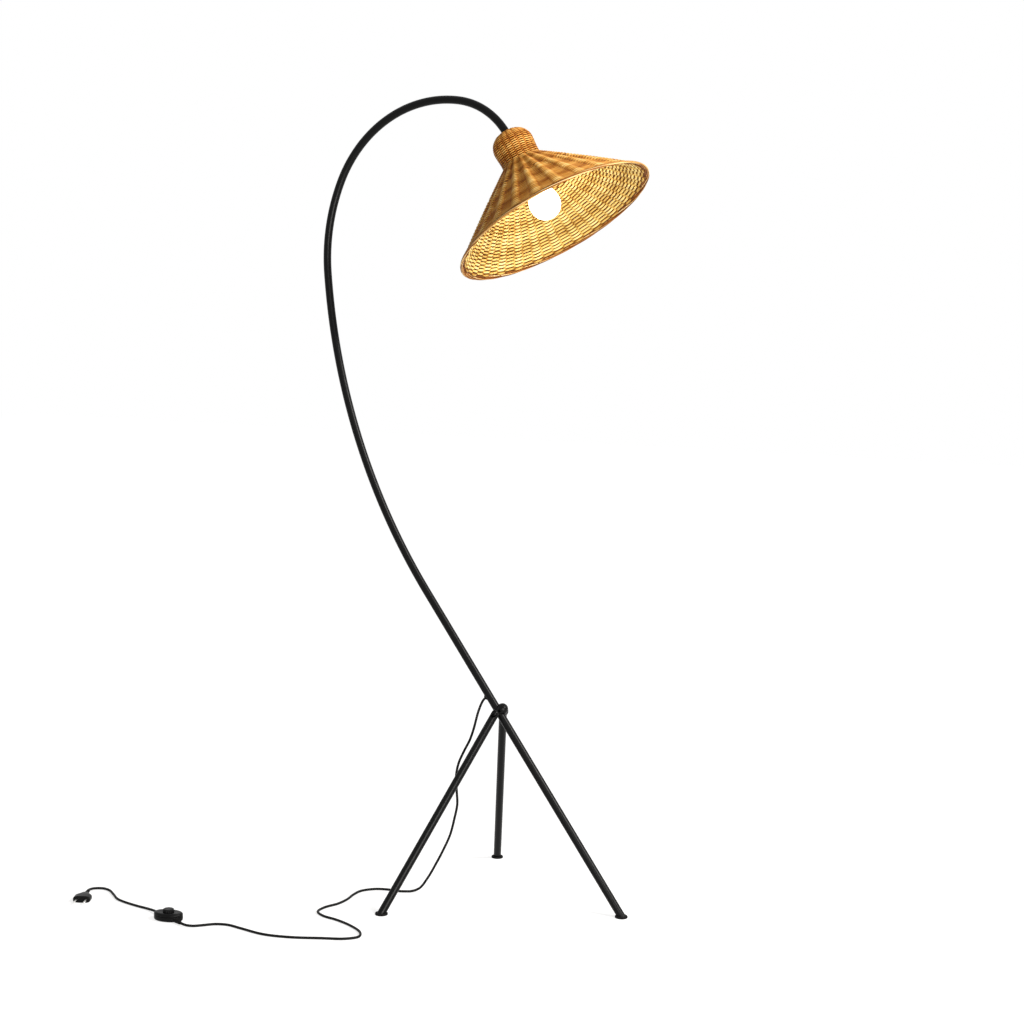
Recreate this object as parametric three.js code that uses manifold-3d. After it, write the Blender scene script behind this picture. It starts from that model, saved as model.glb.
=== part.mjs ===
// Rattan floor lamp: a bent steel tube stands on its own foot and on two short legs, arches over
// and carries a woven shade. A cord with a foot switch leaves the tube above the hub.
// Millimetres, +Z up. The arch lies in the XZ plane and its foot points along +X.
import * as THREE from 'three';
import { mergeVertices } from 'three/addons/utils/BufferGeometryUtils.js';
import Module from 'manifold-3d';

const wasm = await Module();
wasm.setup();

// Clearances
const seatGap = 0.3; // between two pieces that rest on each other
const overrun = 1.5; // a cutter past the face that it leaves

// Bent tube
const tubeDiameter = 16;
const tubeWall = 1.7;
const footCircleRadius = 270; // upright middle line to each foot
const hubHeight = 374;
const hubSetback = 11.08; // the hub stands behind the middle line
const straightRun = 754;
const longBendRadius = 1267;
const longBendTurn = 31.55;
const shoulderRadius = 376;
const shoulderTurn = 28.95;
const crownRadius = 260;
const crownTurn = 75;
const noseRadius = 159.3;
const noseTurn = 48.97;
const noseRun = 44; // straight end inside the shade's neck

// Feet and hub
const legCount = 3;
const footDiameter = 25;
const footHeight = 4.6;
const footEdge = 0.6;
const footFloor = 1.8; // rubber under the tube
const footAxisHeight = 3; // where the leg's middle line crosses the foot's
const legPlug = 30; // solid top of a leg, for the bolt
const bossDiameter = 23.6;
const bossLength = 12;
const bossEdge = 3;
const boltDiameter = 6;
const boltHeadDiameter = 10.4;
const boltHeadHeight = 3.4;
const boltHeadSink = 4; // depth of its flat seat in the leg
const boltProud = 1.5; // thread past the nut
const washerDiameter = 12;
const washerThickness = 1.2;
const hubNutAcrossFlats = 10;
const hubNutThickness = 5;

// Cord and its way through the tube
const cordDiameter = 5;
const cordExitRise = 40; // along the tube, hub to exit
const grommetFlangeDiameter = 11;
const grommetProud = 2; // past the tube's wall
const grommetWall = 0.8;
const cableBendRadius = 6;

// Shade
const rimRadius = 205;
const waistRadius = 40;
const waistHeight = 141; // above the rim's plane
const neckRadius = 41.5;
const neckHeight = 178;
const shadeHeight = 208;
const weaveThickness = 4;
const borderWidth = 10; // along the cone's wall
const borderThickness = 5;
const neckHoleClearance = 0.8;
const carrierHeight = 152.6; // middle of the carrier disc above the rim's plane
const waistDip = 1; // the neck draws in by this above the waist
const waistFillet = 3; // rounding between cone and neck
const ribCount = 26; // canes that come down from the neck, over which the weave bulges
const ribDepth = 2;
const ribRiseShare = 0.6; // below 1, the ribs deepen faster at both ends of the cone

// Lamp holder
const carrierThickness = 1.5;
const carrierHubRadius = 14;
const carrierRimWidth = 6;
const carrierArmWidth = 8;
const carrierArms = 3;
const nippleDiameter = 12;
const nippleWall = 1;
const nippleEngagement = 14; // thread inside the tube
const nippleProud = 1;
const jamNutAcrossFlats = 18;
const jamNutThickness = 4;
const holderDiameter = 40;
const holderWall = 2;
const holderCapHeight = 21.6;
const holderCapTopDiameter = 32;
const holderBodyHeight = 31.7;
const contactCarrierHeight = 7;
const contactCarrierDrop = 1.7; // below the holder body's top
const ledgeWidth = 3;
const screwShellWall = 0.7;
const screwShellHeight = 20.7;
const centreContactDiameter = 7;
const centreContactThickness = 1;
const sheathPastNipple = 2.5;
const coreDiameter = 1.8;
const coreSpread = 9;
const terminalDiameter = 5;
const terminalHeight = 3;

// Bulb
const bulbDiameter = 60;
const bulbLength = 106;
const bulbWall = 1.2;
const bulbSeamDiameter = 43;
const bulbSeamDrop = 44; // tip to the seam between collar and globe
const tipDiameter = 8.6;
const tipHeight = 1.3;
const insulatorDiameter = 20;
const insulatorHeight = 2.4;
const screwCapDiameter = 26.4;
const screwCapHeight = 21;
const screwCapWall = 0.6;
const screwCapHoleDiameter = 13;
const threadPitch = 3.6;
const threadDepth = 1;
const ledBoardThickness = 1.6;
const ledBoardRecess = 3; // below the seam
const emitterCount = 8;
const emitterSize = 3;
const emitterHeight = 0.9;
const emitterCircle = 26;

// Foot switch
const switchLength = 58;
const switchWidth = 37;
const switchHeight = 16;
const switchBevel = 4;
const switchWall = 2;
const switchSplit = 9.4; // height of the joint between base and cover
const switchTurn = -20; // about the vertical, from +X to the lamp-side lead
const switchLongTurn = 34; // from the leads to the long axis
const switchPlace = new THREE.Vector2(-379.5, -478);
const leadHeight = 4.7;
const buttonDiameter = 19.6;
const buttonProud = 6.3;
const buttonRibs = 20;
const buttonRibDepth = 0.5;
const buttonFlange = 1.2;
const buttonFlangeThickness = 1.5;
const buttonWall = 2.5;
const springWire = 0.9;
const springDiameter = 9;
const springCurls = 6;
const contactBlockLength = 16;
const contactBlockWidth = 12;
const contactBlockHeight = 3.8;
const towerDiameter = 6.8;
const towerFootWidth = 1.5; // by which a tower in the base is thicker than in the cover
const towerSpacing = 42;
const screwDiameter = 3;
const screwHeadDiameter = 5.4;
const screwHeadHeight = 1.6;
const screwSink = 0.5;
const screwLength = 10;
const reliefLength = 20;
const reliefDiameter = 8;
const reliefMouthDiameter = 6.4;
const reliefNeckDiameter = 6.6;

// Plug
const plugWidth = 34;
const plugThickness = 13.6;
const plugLength = 36;
const plugEdge = 2.5;
const plugTailWidth = 16;
const pinDiameter = 4;
const pinLength = 19;
const pinSpacing = 18.6;
const pinSeat = 5; // pin inside the body
const plugReliefLength = 24;
const plugReliefDiameter = 9;

// Facets
const tubeSides = 12;
const cordSides = 8;
const roundSegments = 16;
const switchFacets = 30;
const shadeSegments = 2 * ribCount;
const borderSides = 10;
const longBendRings = 10;
const shoulderRings = 5;
const crownRings = 12;
const noseRings = 8;
const springSides = 5;
const springCurlRings = 8;
const lampCordRings = 65;
const plugCordRings = 13;
const coreRings = 8;

// The cord's route, chosen by hand: from the exit down to the floor, and along it to the switch
const lampCordRoute = [
  [31, -8, 386], [27, -12, 364], [22, -17, 336], [16, -21, 314], [7, -27, 292],
  [-2, -33, 266], [-6, -35, 238], [-4, -34, 208], [-3, -33, 182], [-7, -36, 154],
  [-14, -40, 120], [-24, -47, 91], [-37, -55, 60], [-51, -64, 30], [-64, -73, 9.5],
  [-80, -83, 2.7], [-101, -94, 2.6], [-127, -97, 2.6], [-149, -108, 2.6], [-165, -132, 2.6],
  [-165, -160, 2.6], [-158, -196, 2.6], [-158, -228, 2.6], [-167, -263, 2.6],
  [-163, -291, 2.6], [-140, -307, 2.6], [-104, -314, 2.6], [-62, -329, 2.6],
  [-26, -352, 2.6], [-14, -376, 2.6], [-30, -399, 2.6], [-68, -419, 2.6],
  [-120, -445, 2.6], [-172, -458, 2.6], [-230, -452, 2.6], [-262, -449, 2.6],
  [-284, -458, 2.6], [-299, -475, 2.6], [-312, -489, 2.8], [-323, -495, 3.8],
];
// and from the switch to the plug
const plugCordRoute = [
  [-446, -454, 3.2], [-483, -449, 2.6], [-517, -443, 2.6], [-541, -435, 2.6],
  [-566, -417, 2.6], [-592, -400, 2.7], [-609, -398.5, 3.2], [-621, -410.5, 4.4],
  [-620, -426, 6.2],
];
const plugPlace = new THREE.Vector2(-604.6, -455.3);
const plugTurn = -62; // about the vertical, from +X to the pins

const steel = finish(0x151515, 0.42, 0.5);
const zinc = finish(0xb9bcc0, 0.35, 1);
const brass = finish(0xc9a24a, 0.35, 1);
const rubber = finish(0x101010, 0.8, 0);
const blackPlastic = finish(0x171716, 0.5, 0);
const cordPlastic = finish(0x121212, 0.55, 0);
const whitePlastic = finish(0xf0eeea, 0.5, 0);
const ceramic = finish(0xe6e2da, 0.6, 0);
const opalGlass = finish(0xfffaf0, 0.3, 0);
const blackGlass = finish(0x101014, 0.2, 0);
const rattan = finish(0xb9803f, 0.65, 0);
const rattanBorder = finish(0x9a6a38, 0.65, 0);

function finish(color, roughness, metalness) {
  return new THREE.MeshStandardMaterial({ color, roughness, metalness });
}

// Closed solids and their cuts

function solidOf(geometry) {
  const bare = geometry.index ? geometry.toNonIndexed() : geometry.clone();
  for (const name of Object.keys(bare.attributes)) {
    if (name !== 'position') bare.deleteAttribute(name);
  }
  const merged = mergeVertices(bare);
  const corners = merged.index.array;
  const kept = [];
  for (let i = 0; i < corners.length; i += 3) {
    const [a, b, c] = corners.subarray(i, i + 3);
    if (a !== b && b !== c && c !== a) kept.push(a, b, c);
  }
  const vertProperties = Float32Array.from(merged.attributes.position.array);
  return new wasm.Manifold(
    new wasm.Mesh({ numProp: 3, vertProperties, triVerts: Uint32Array.from(kept) }),
  );
}

function geometryOf(solid) {
  const mesh = solid.getMesh();
  const geometry = new THREE.BufferGeometry();
  geometry.setAttribute('position', new THREE.BufferAttribute(mesh.vertProperties, 3));
  geometry.setIndex(new THREE.BufferAttribute(mesh.triVerts, 1));
  geometry.computeVertexNormals();
  return geometry;
}

function cut(body, ...cutters) {
  return geometryOf(cutters.reduce((left, tool) => left.subtract(solidOf(tool)), solidOf(body)));
}

function join(body, ...others) {
  return geometryOf(others.reduce((whole, part) => whole.add(solidOf(part)), solidOf(body)));
}

function common(a, b) {
  return geometryOf(solidOf(a).intersect(solidOf(b)));
}

function piece(name, geometry, material) {
  const mesh = new THREE.Mesh(geometryOf(solidOf(geometry)), material);
  mesh.name = name;
  return mesh;
}

// Basic shapes

function regularOutline(radius, sides) {
  return Array.from({ length: sides }, (_, i) => {
    const angle = (2 * Math.PI * i) / sides;
    return new THREE.Vector2(radius * Math.cos(angle), radius * Math.sin(angle));
  });
}

function disc(radius, sides, bore = 0) {
  const shape = new THREE.Shape(regularOutline(radius, sides));
  if (bore > 0) shape.holes.push(new THREE.Path(regularOutline(bore, sides)));
  return shape;
}

// A path with one extrusion ring at each of its points
class StationPath extends THREE.Curve {
  constructor(points) {
    super();
    this.points = points;
    this.rings = points.length - 1;
  }

  getPointAt(share) {
    const at = share * this.rings;
    const i = Math.min(Math.floor(at), this.rings - 1);
    return new THREE.Vector3().lerpVectors(this.points[i], this.points[i + 1], at - i);
  }

  getPoint(share) {
    return this.getPointAt(share);
  }

  direction(i) {
    return new THREE.Vector3().subVectors(this.points[i + 1], this.points[i]).normalize();
  }

  getTangentAt(share) {
    const i = Math.round(share * this.rings);
    const before = this.direction(Math.max(i - 1, 0));
    const after = this.direction(Math.min(i, this.rings - 1));
    return before.add(after).normalize();
  }
}

function along(points, shape) {
  const path = new StationPath(points);
  return new THREE.ExtrudeGeometry(shape, { steps: path.rings, extrudePath: path });
}

function rod(from, to, radius, sides = tubeSides) {
  return along([from, to], disc(radius, sides));
}

// A closed profile of radius and height, turned about Z
function turned(profile, segments = roundSegments) {
  const points = profile.map(([radius, height]) => new THREE.Vector2(radius, height));
  if (THREE.ShapeUtils.isClockWise(points)) points.reverse();
  points.push(points[0].clone());
  return new THREE.LatheGeometry(points, segments).rotateX(Math.PI / 2);
}

// A ring or a disc between two heights
function ringBetween(outer, bore, bottom, top, segments = roundSegments) {
  return turned([[bore, bottom], [outer, bottom], [outer, top], [bore, top]], segments);
}

function plate(shape, bottom, top) {
  const depth = top - bottom;
  return new THREE.ExtrudeGeometry(shape, { depth, bevelEnabled: false }).translate(0, 0, bottom);
}

function hexNut(acrossFlats, bore, bottom, top) {
  const corner = acrossFlats / 2 / Math.cos(Math.PI / 6);
  const shape = new THREE.Shape(regularOutline(corner, 6));
  shape.holes.push(new THREE.Path(regularOutline(bore, tubeSides)));
  return plate(shape, bottom, top);
}

// A quarter round between two directions of a profile, about a centre
function quarter(centreRadius, centreHeight, size, fromAngle, steps = 3) {
  return Array.from({ length: steps + 1 }, (_, i) => {
    const angle = THREE.MathUtils.degToRad(fromAngle + (90 * i) / steps);
    return [centreRadius + size * Math.cos(angle), centreHeight + size * Math.sin(angle)];
  });
}

function block(size, centre) {
  return new THREE.BoxGeometry(size.x, size.y, size.z).translate(centre.x, centre.y, centre.z);
}

// Everything under a level, to cut a leg's end flat
function slabBelow(level, at) {
  const side = 4 * tubeDiameter;
  return block(new THREE.Vector3(side, side, side), new THREE.Vector3(at.x, at.y, level - side / 2));
}

// The tube's middle line

const tubeRadius = tubeDiameter / 2;
const boreRadius = tubeRadius - tubeWall;
const cordRadius = cordDiameter / 2;
const boltHoleRadius = boltDiameter / 2 + seatGap;
const hub = new THREE.Vector3(-hubSetback, 0, hubHeight);
const frontFoot = new THREE.Vector3(footCircleRadius, 0, footAxisHeight);
const rise = new THREE.Vector3().subVectors(hub, frontFoot).normalize();
const startHeading = Math.atan2(rise.z, rise.x);
const downward = new THREE.Vector3(0, 0, -1);

function headingVector(heading) {
  return new THREE.Vector3(Math.cos(heading), 0, Math.sin(heading));
}

// Each station holds its point and heading; the arcs turn clockwise, seen from -Y
function tubeStations() {
  const stations = [{ point: frontFoot.clone(), heading: startHeading }];
  const step = (length) => {
    const last = stations.at(-1);
    const point = last.point.clone().addScaledVector(headingVector(last.heading), length);
    stations.push({ point, heading: last.heading });
  };
  const bend = (radius, degrees, count) => {
    const start = stations.at(-1);
    const centre = start.point
      .clone()
      .addScaledVector(headingVector(start.heading - Math.PI / 2), radius);
    for (let i = 1; i <= count; i += 1) {
      const heading = start.heading - THREE.MathUtils.degToRad((degrees * i) / count);
      const point = centre.clone().addScaledVector(headingVector(heading + Math.PI / 2), radius);
      stations.push({ point, heading });
    }
  };
  step(straightRun);
  bend(longBendRadius, longBendTurn, longBendRings);
  bend(shoulderRadius, shoulderTurn, shoulderRings);
  bend(crownRadius, crownTurn, crownRings);
  bend(noseRadius, noseTurn, noseRings);
  step(noseRun);
  return stations;
}

const stations = tubeStations();
const tubeEnd = stations.at(-1);

function footPoint(index) {
  const angle = (2 * Math.PI * index) / legCount;
  const at = new THREE.Vector3(Math.cos(angle), Math.sin(angle), 0).multiplyScalar(footCircleRadius);
  return at.setZ(footAxisHeight);
}

// The cord's exit, on the underside of the straight run
const exitAt = hub.clone().addScaledVector(rise, cordExitRise);
const exitOut = headingVector(startHeading + Math.PI / 2);
const grommetMouth = tubeRadius + grommetProud;

// Feet

function footPad(name, foot, top) {
  const radius = footDiameter / 2;
  const body = turned([
    [0, 0],
    ...quarter(radius - footEdge, footEdge, footEdge, -90),
    ...quarter(radius - footEdge, footHeight - footEdge, footEdge, 0),
    [0, footHeight],
  ]).translate(foot.x, foot.y, 0);
  const tilt = new THREE.Vector3().subVectors(top, foot).normalize();
  const below = foot.clone().addScaledVector(tilt, -tubeDiameter);
  const above = foot.clone().addScaledVector(tilt, tubeDiameter);
  const socket = cut(rod(below, above, tubeRadius + seatGap), slabBelow(footFloor, foot));
  return piece(name, cut(body, socket), rubber);
}

// Main tube: its end in the foot is cut level, and the bolt and the cord pass through its wall
function mainTube() {
  const points = stations.map((station) => station.point.clone());
  points[0].addScaledVector(rise, -tubeDiameter);
  const body = along(points, disc(tubeRadius, tubeSides, boreRadius));
  const reach = new THREE.Vector3(0, tubeDiameter, 0);
  const boltHole = rod(hub.clone().sub(reach), hub.clone().add(reach), boltHoleRadius);
  const mouth = exitAt.clone().addScaledVector(exitOut, grommetMouth);
  const cordHole = rod(exitAt, mouth, cordRadius + grommetWall + 2 * seatGap);
  return piece(
    'main_tube',
    cut(body, slabBelow(footFloor + seatGap, frontFoot), boltHole, cordHole),
    steel,
  );
}

// A leg: a tube whose solid top lies beside the main tube on the bolt
const legOffset = tubeDiameter + seatGap;

function legTop(side) {
  return new THREE.Vector3(hub.x, side * legOffset, hub.z);
}

function legTube(foot, top, side) {
  const tilt = new THREE.Vector3().subVectors(top, foot).normalize();
  const below = foot.clone().addScaledVector(tilt, -tubeDiameter);
  const body = rod(below, top, tubeRadius);
  const bore = rod(
    below.clone().addScaledVector(tilt, -overrun),
    top.clone().addScaledVector(tilt, -legPlug),
    boreRadius,
  );
  const outside = new THREE.Vector3(hub.x, side * 3 * tubeDiameter, hub.z);
  const boltHole = rod(hub, outside, boltHoleRadius);
  return { body, cutters: [bore, slabBelow(footFloor + seatGap, foot), boltHole] };
}

function leftLeg() {
  const top = legTop(-1);
  const { body, cutters } = legTube(footPoint(2), top, -1);
  const knuckle = new THREE.SphereGeometry(tubeRadius, tubeSides, tubeSides / 2);
  knuckle.translate(top.x, top.y, top.z);
  const seat = rod(
    new THREE.Vector3(hub.x, boltHeadSeat, hub.z),
    new THREE.Vector3(hub.x, boltHeadSeat - 2 * tubeDiameter, hub.z),
    boltHeadDiameter / 2 + seatGap,
  );
  return piece('left_leg', cut(join(body, knuckle), ...cutters, seat), steel);
}

const boltHeadSeat = -(legOffset + tubeRadius - boltHeadSink);
const bossInner = tubeRadius + seatGap;
const bossOuter = bossInner + bossLength;

// The back leg ends in a round boss between the main tube and the nut
function backLeg() {
  const { body, cutters } = legTube(footPoint(1), legTop(1), 1);
  const radius = bossDiameter / 2;
  const boss = turned([
    [0, bossInner],
    [radius - seatGap, bossInner],
    [radius, bossInner + seatGap],
    ...quarter(radius - bossEdge, bossOuter - bossEdge, bossEdge, 0, 4),
    [0, bossOuter],
  ]);
  boss.rotateX(-Math.PI / 2).translate(hub.x, 0, hub.z);
  const seat = rod(
    new THREE.Vector3(hub.x, bossOuter, hub.z),
    new THREE.Vector3(hub.x, bossOuter + tubeDiameter, hub.z),
    washerDiameter / 2 + 2 * seatGap,
  );
  return piece('back_leg', cut(join(body, boss), ...cutters, seat), steel);
}

// Pieces on the bolt's axis, drawn about +Z and turned to +Y
function hubFasteners() {
  const group = new THREE.Group();
  const washerBottom = bossOuter + seatGap;
  const nutBottom = washerBottom + washerThickness + seatGap;
  const nutTop = nutBottom + hubNutThickness;
  const headBottom = boltHeadSeat - seatGap - boltHeadHeight;
  const shank = boltDiameter / 2;
  const head = boltHeadDiameter / 2;
  const dome = boltHeadHeight - seatGap;
  group.add(
    piece(
      'hub_bolt',
      turned([
        [0, headBottom],
        [head - dome, headBottom],
        ...quarter(head - dome, headBottom + dome, dome, -90).slice(1),
        [head, headBottom + boltHeadHeight],
        [shank, headBottom + boltHeadHeight],
        [shank, nutTop + boltProud],
        [0, nutTop + boltProud],
      ]),
      steel,
    ),
    piece(
      'hub_washer',
      ringBetween(washerDiameter / 2, boltHoleRadius, washerBottom, washerBottom + washerThickness),
      zinc,
    ),
    piece('hub_nut', hexNut(hubNutAcrossFlats, boltHoleRadius, nutBottom, nutTop), steel),
  );
  group.rotation.x = -Math.PI / 2;
  group.position.set(hub.x, 0, hub.z);
  return group;
}

// Grommet: its flange is saddled on the tube, its sleeve lines the hole
function cordGrommet() {
  const sleeve = cordRadius + grommetWall + seatGap;
  const flangeFoot = tubeRadius * Math.cos(Math.PI / 4);
  const flange = ringBetween(grommetFlangeDiameter / 2, cordRadius + seatGap, flangeFoot, grommetMouth);
  const reach = new THREE.Vector3(grommetFlangeDiameter, 0, 0);
  const saddle = rod(reach.clone().negate(), reach, tubeRadius + seatGap);
  const lining = ringBetween(sleeve, cordRadius + seatGap, boreRadius - seatGap, grommetMouth);
  const mesh = piece('cord_grommet', join(cut(flange, saddle), lining), rubber);
  mesh.quaternion.setFromUnitVectors(new THREE.Vector3(0, 0, 1), exitOut);
  mesh.position.copy(exitAt);
  return mesh;
}

// The cord inside: in at the grommet, round a bend, along the bore's inner side to the holder
function innerCable() {
  const lean = boreRadius - cordRadius - seatGap;
  const inside = (station, offset) =>
    station.point.clone().addScaledVector(headingVector(station.heading + Math.PI / 2), offset);
  const points = [exitAt.clone().addScaledVector(exitOut, grommetMouth)];
  const bendSteps = 5;
  for (let i = 0; i <= bendSteps; i += 1) {
    const angle = (Math.PI / 2) * (i / bendSteps);
    points.push(
      exitAt
        .clone()
        .addScaledVector(exitOut, cableBendRadius - lean - cableBendRadius * Math.sin(angle))
        .addScaledVector(rise, cableBendRadius * (1 - Math.cos(angle))),
    );
  }
  points.push(...stations.slice(1, -1).map((station) => inside(station, -lean)));
  const tail = headingVector(tubeEnd.heading);
  const shift = noseRun - nippleEngagement - 2 * overrun;
  const shiftSteps = 5;
  const bendEnd = stations.at(-2);
  for (let i = 1; i <= shiftSteps; i += 1) {
    const share = i / shiftSteps;
    const offset = (-lean * (1 + Math.cos(Math.PI * share))) / 2;
    points.push(inside(bendEnd, offset).addScaledVector(tail, shift * share));
  }
  points.push(tubeEnd.point.clone().addScaledVector(tail, -sheathEnd));
  return piece('inner_cable', along(points, disc(cordRadius, cordSides)), cordPlastic);
}

// Heights in the head, above the tube's end and against the light's direction

const jamNutTop = -seatGap;
const jamNutBottom = jamNutTop - jamNutThickness;
const carrierTop = jamNutBottom - seatGap;
const carrierBottom = carrierTop - carrierThickness;
const capTop = carrierBottom - seatGap;
const capBottom = capTop - holderCapHeight;
const innerNutTop = capTop - holderWall - seatGap;
const innerNutBottom = innerNutTop - jamNutThickness;
const nippleBottom = innerNutBottom - nippleProud;
const sheathEnd = nippleBottom - sheathPastNipple;
const bodyTop = capBottom - seatGap;
const bodyBottom = bodyTop - holderBodyHeight;
const contactCarrierTop = bodyTop - contactCarrierDrop;
const contactCarrierBottom = contactCarrierTop - contactCarrierHeight;
const ledgeTop = contactCarrierBottom - seatGap;
const contactTop = contactCarrierBottom - seatGap;
const contactBottom = contactTop - centreContactThickness;
const tipTop = contactBottom - seatGap;
const rimPlane = (carrierTop + carrierBottom) / 2 - carrierHeight;

// Shade outline, outer side, from the cone's foot to the neck's hole: radius and height

const neckHoleRadius = tubeRadius + neckHoleClearance;
const coneRowShares = [0.2, 0.5, 0.8]; // of the way from the cone's foot to its waist

// Up the cone's wall, and outwards square to it, as radius and height
const wallWay = new THREE.Vector2(waistRadius - rimRadius, waistHeight).normalize();
const wallOut = new THREE.Vector2(wallWay.y, -wallWay.x);

// The border's middle: its flat section lies along the wall and just reaches rim and rim's plane
const borderMiddle = new THREE.Vector2(
  rimRadius - Math.hypot((wallWay.x * borderWidth) / 2, (wallOut.x * borderThickness) / 2),
  Math.hypot((wallWay.y * borderWidth) / 2, (wallOut.y * borderThickness) / 2),
);

function coneFoot() {
  const foot = new THREE.Vector2(rimRadius, 0);
  const start = borderMiddle.clone().sub(foot).dot(wallWay) + borderWidth / 2 + seatGap;
  foot.addScaledVector(wallWay, start);
  return [foot.x, foot.y];
}

function shadeOutline() {
  const waistCorner = new THREE.Vector2(waistRadius, waistHeight);
  const fillet = new THREE.QuadraticBezierCurve(
    waistCorner.clone().addScaledVector(wallWay, -waistFillet),
    waistCorner,
    new THREE.Vector2(waistRadius, waistHeight + waistFillet),
  );
  const foot = coneFoot();
  const points = [foot];
  for (const share of coneRowShares) {
    points.push([
      THREE.MathUtils.lerp(foot[0], waistRadius, share),
      THREE.MathUtils.lerp(foot[1], waistHeight, share),
    ]);
  }
  points.push(...fillet.getPoints(3).map((point) => [point.x, point.y]));
  const neckSteps = 4;
  const neckFoot = waistHeight + waistFillet;
  for (let i = 1; i <= neckSteps; i += 1) {
    const share = i / neckSteps;
    const dip = waistDip * Math.sin(Math.PI * share) * (1 - share);
    const swell = ((neckRadius - waistRadius) * (1 - Math.cos(Math.PI * share))) / 2;
    points.push([waistRadius + swell - dip, neckFoot + (neckHeight - neckFoot) * share]);
  }
  const domeSteps = 6;
  for (let i = 1; i <= domeSteps; i += 1) {
    const angle = (Math.PI / 2) * (i / domeSteps);
    const radius = neckHoleRadius + (neckRadius - neckHoleRadius) * Math.cos(angle);
    points.push([radius, neckHeight + (shadeHeight - neckHeight) * Math.sin(angle)]);
  }
  return points;
}

// The outline moved inwards by the weave's thickness, square to itself
function insideOf(outline, thickness) {
  return outline.map(([radius, height], i) => {
    const [r0, h0] = outline[Math.max(i - 1, 0)];
    const [r1, h1] = outline[Math.min(i + 1, outline.length - 1)];
    const length = Math.hypot(r1 - r0, h1 - h0);
    const inner = radius - ((h1 - h0) / length) * thickness;
    return [Math.max(inner, neckHoleRadius), height + ((r1 - r0) / length) * thickness];
  });
}

function radiusAt(outline, height) {
  const i = outline.findIndex((point) => point[1] >= height);
  const [r0, h0] = outline[i - 1];
  const [r1, h1] = outline[i];
  return r0 + ((r1 - r0) * (height - h0)) / (h1 - h0);
}

const outerWeave = shadeOutline();
const innerWeave = insideOf(outerWeave, weaveThickness);

// The cone moved in and out, square to itself, by a wave that is deepest half way down
function ribbed(geometry) {
  const conePart = innerWeave[0][0] - waistRadius;
  const place = geometry.attributes.position;
  for (let i = 0; i < place.count; i += 1) {
    const at = new THREE.Vector3().fromBufferAttribute(place, i);
    const radius = Math.hypot(at.x, at.y);
    const share = THREE.MathUtils.clamp((radius - waistRadius) / conePart, 0, 1);
    const wave = Math.cos(ribCount * Math.atan2(at.y, at.x));
    const bulge = ribDepth * Math.sin(Math.PI * share) ** ribRiseShare * wave;
    const swell = 1 + (wallOut.x * bulge) / radius;
    place.setXYZ(i, at.x * swell, at.y * swell, at.z + wallOut.y * bulge);
  }
  return geometry;
}

function shade() {
  const profile = [...outerWeave, ...innerWeave.toReversed()];
  const weave = piece('shade_weave', ribbed(turned(profile, shadeSegments)), rattan);
  const section = regularOutline(1, borderSides).map((point) => {
    const at = borderMiddle.clone();
    at.addScaledVector(wallWay, (point.x * borderWidth) / 2);
    at.addScaledVector(wallOut, (point.y * borderThickness) / 2);
    return [at.x, at.y];
  });
  const border = piece('rim_border', turned(section, shadeSegments), rattanBorder);
  weave.position.z = rimPlane;
  border.position.z = rimPlane;
  return [weave, border];
}

// A flat steel wheel that fills the waist and is clamped under the tube's end
function shadeCarrier() {
  const lowest = Math.min(
    radiusAt(innerWeave, carrierTop - rimPlane),
    radiusAt(innerWeave, carrierBottom - rimPlane),
  );
  const outer = lowest - seatGap;
  const inner = outer - carrierRimWidth;
  const rim = ringBetween(outer, inner, carrierBottom, carrierTop, shadeSegments);
  const bore = nippleDiameter / 2 + seatGap;
  const centre = ringBetween(carrierHubRadius, bore, carrierBottom, carrierTop);
  const armLength = outer - carrierRimWidth / 2 - (carrierHubRadius + bore) / 2;
  const arms = Array.from({ length: carrierArms }, (_, i) =>
    new THREE.BoxGeometry(armLength, carrierArmWidth, carrierThickness)
      .translate((carrierHubRadius + bore + armLength) / 2, 0, (carrierTop + carrierBottom) / 2)
      .rotateZ((2 * Math.PI * i) / carrierArms),
  );
  return piece('shade_carrier', join(rim, centre, ...arms), zinc);
}

function holderPieces() {
  const nippleRadius = nippleDiameter / 2;
  const bore = nippleRadius + seatGap;
  const outer = holderDiameter / 2;
  const capShoulder = holderCapTopDiameter / 2;
  const capSlope = (outer - capShoulder) / 2;
  const pocket = outer - holderWall;
  const ledge = pocket - ledgeWidth;
  const shellOuter = ledge - seatGap;
  const centreContact = ringBetween(centreContactDiameter / 2, 0, contactBottom, contactTop);
  return [
    piece(
      'threaded_nipple',
      ringBetween(nippleRadius, nippleRadius - nippleWall, nippleBottom, nippleEngagement),
      zinc,
    ),
    piece('jam_nut', hexNut(jamNutAcrossFlats, bore, jamNutBottom, jamNutTop), zinc),
    piece(
      'holder_cap',
      turned([
        [bore, capTop - holderWall],
        [capShoulder - holderWall, capTop - holderWall],
        [pocket, capTop - holderWall - capSlope],
        [pocket, capBottom],
        [outer, capBottom],
        [outer, capTop - capSlope],
        [capShoulder, capTop],
        [bore, capTop],
      ]),
      blackPlastic,
    ),
    piece('cap_nut', hexNut(jamNutAcrossFlats, bore, innerNutBottom, innerNutTop), zinc),
    piece(
      'holder_body',
      turned([
        [pocket, ledgeTop],
        [ledge, ledgeTop],
        [ledge, bodyBottom],
        [outer, bodyBottom],
        [outer, bodyTop],
        [pocket, bodyTop],
      ]),
      blackPlastic,
    ),
    contactCarrier(pocket - seatGap),
    piece(
      'screw_shell',
      ringBetween(shellOuter, shellOuter - screwShellWall, contactTop - screwShellHeight, contactTop),
      brass,
    ),
    piece('centre_contact', centreContact, brass),
    ...coresAndTerminals(),
  ];
}

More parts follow.
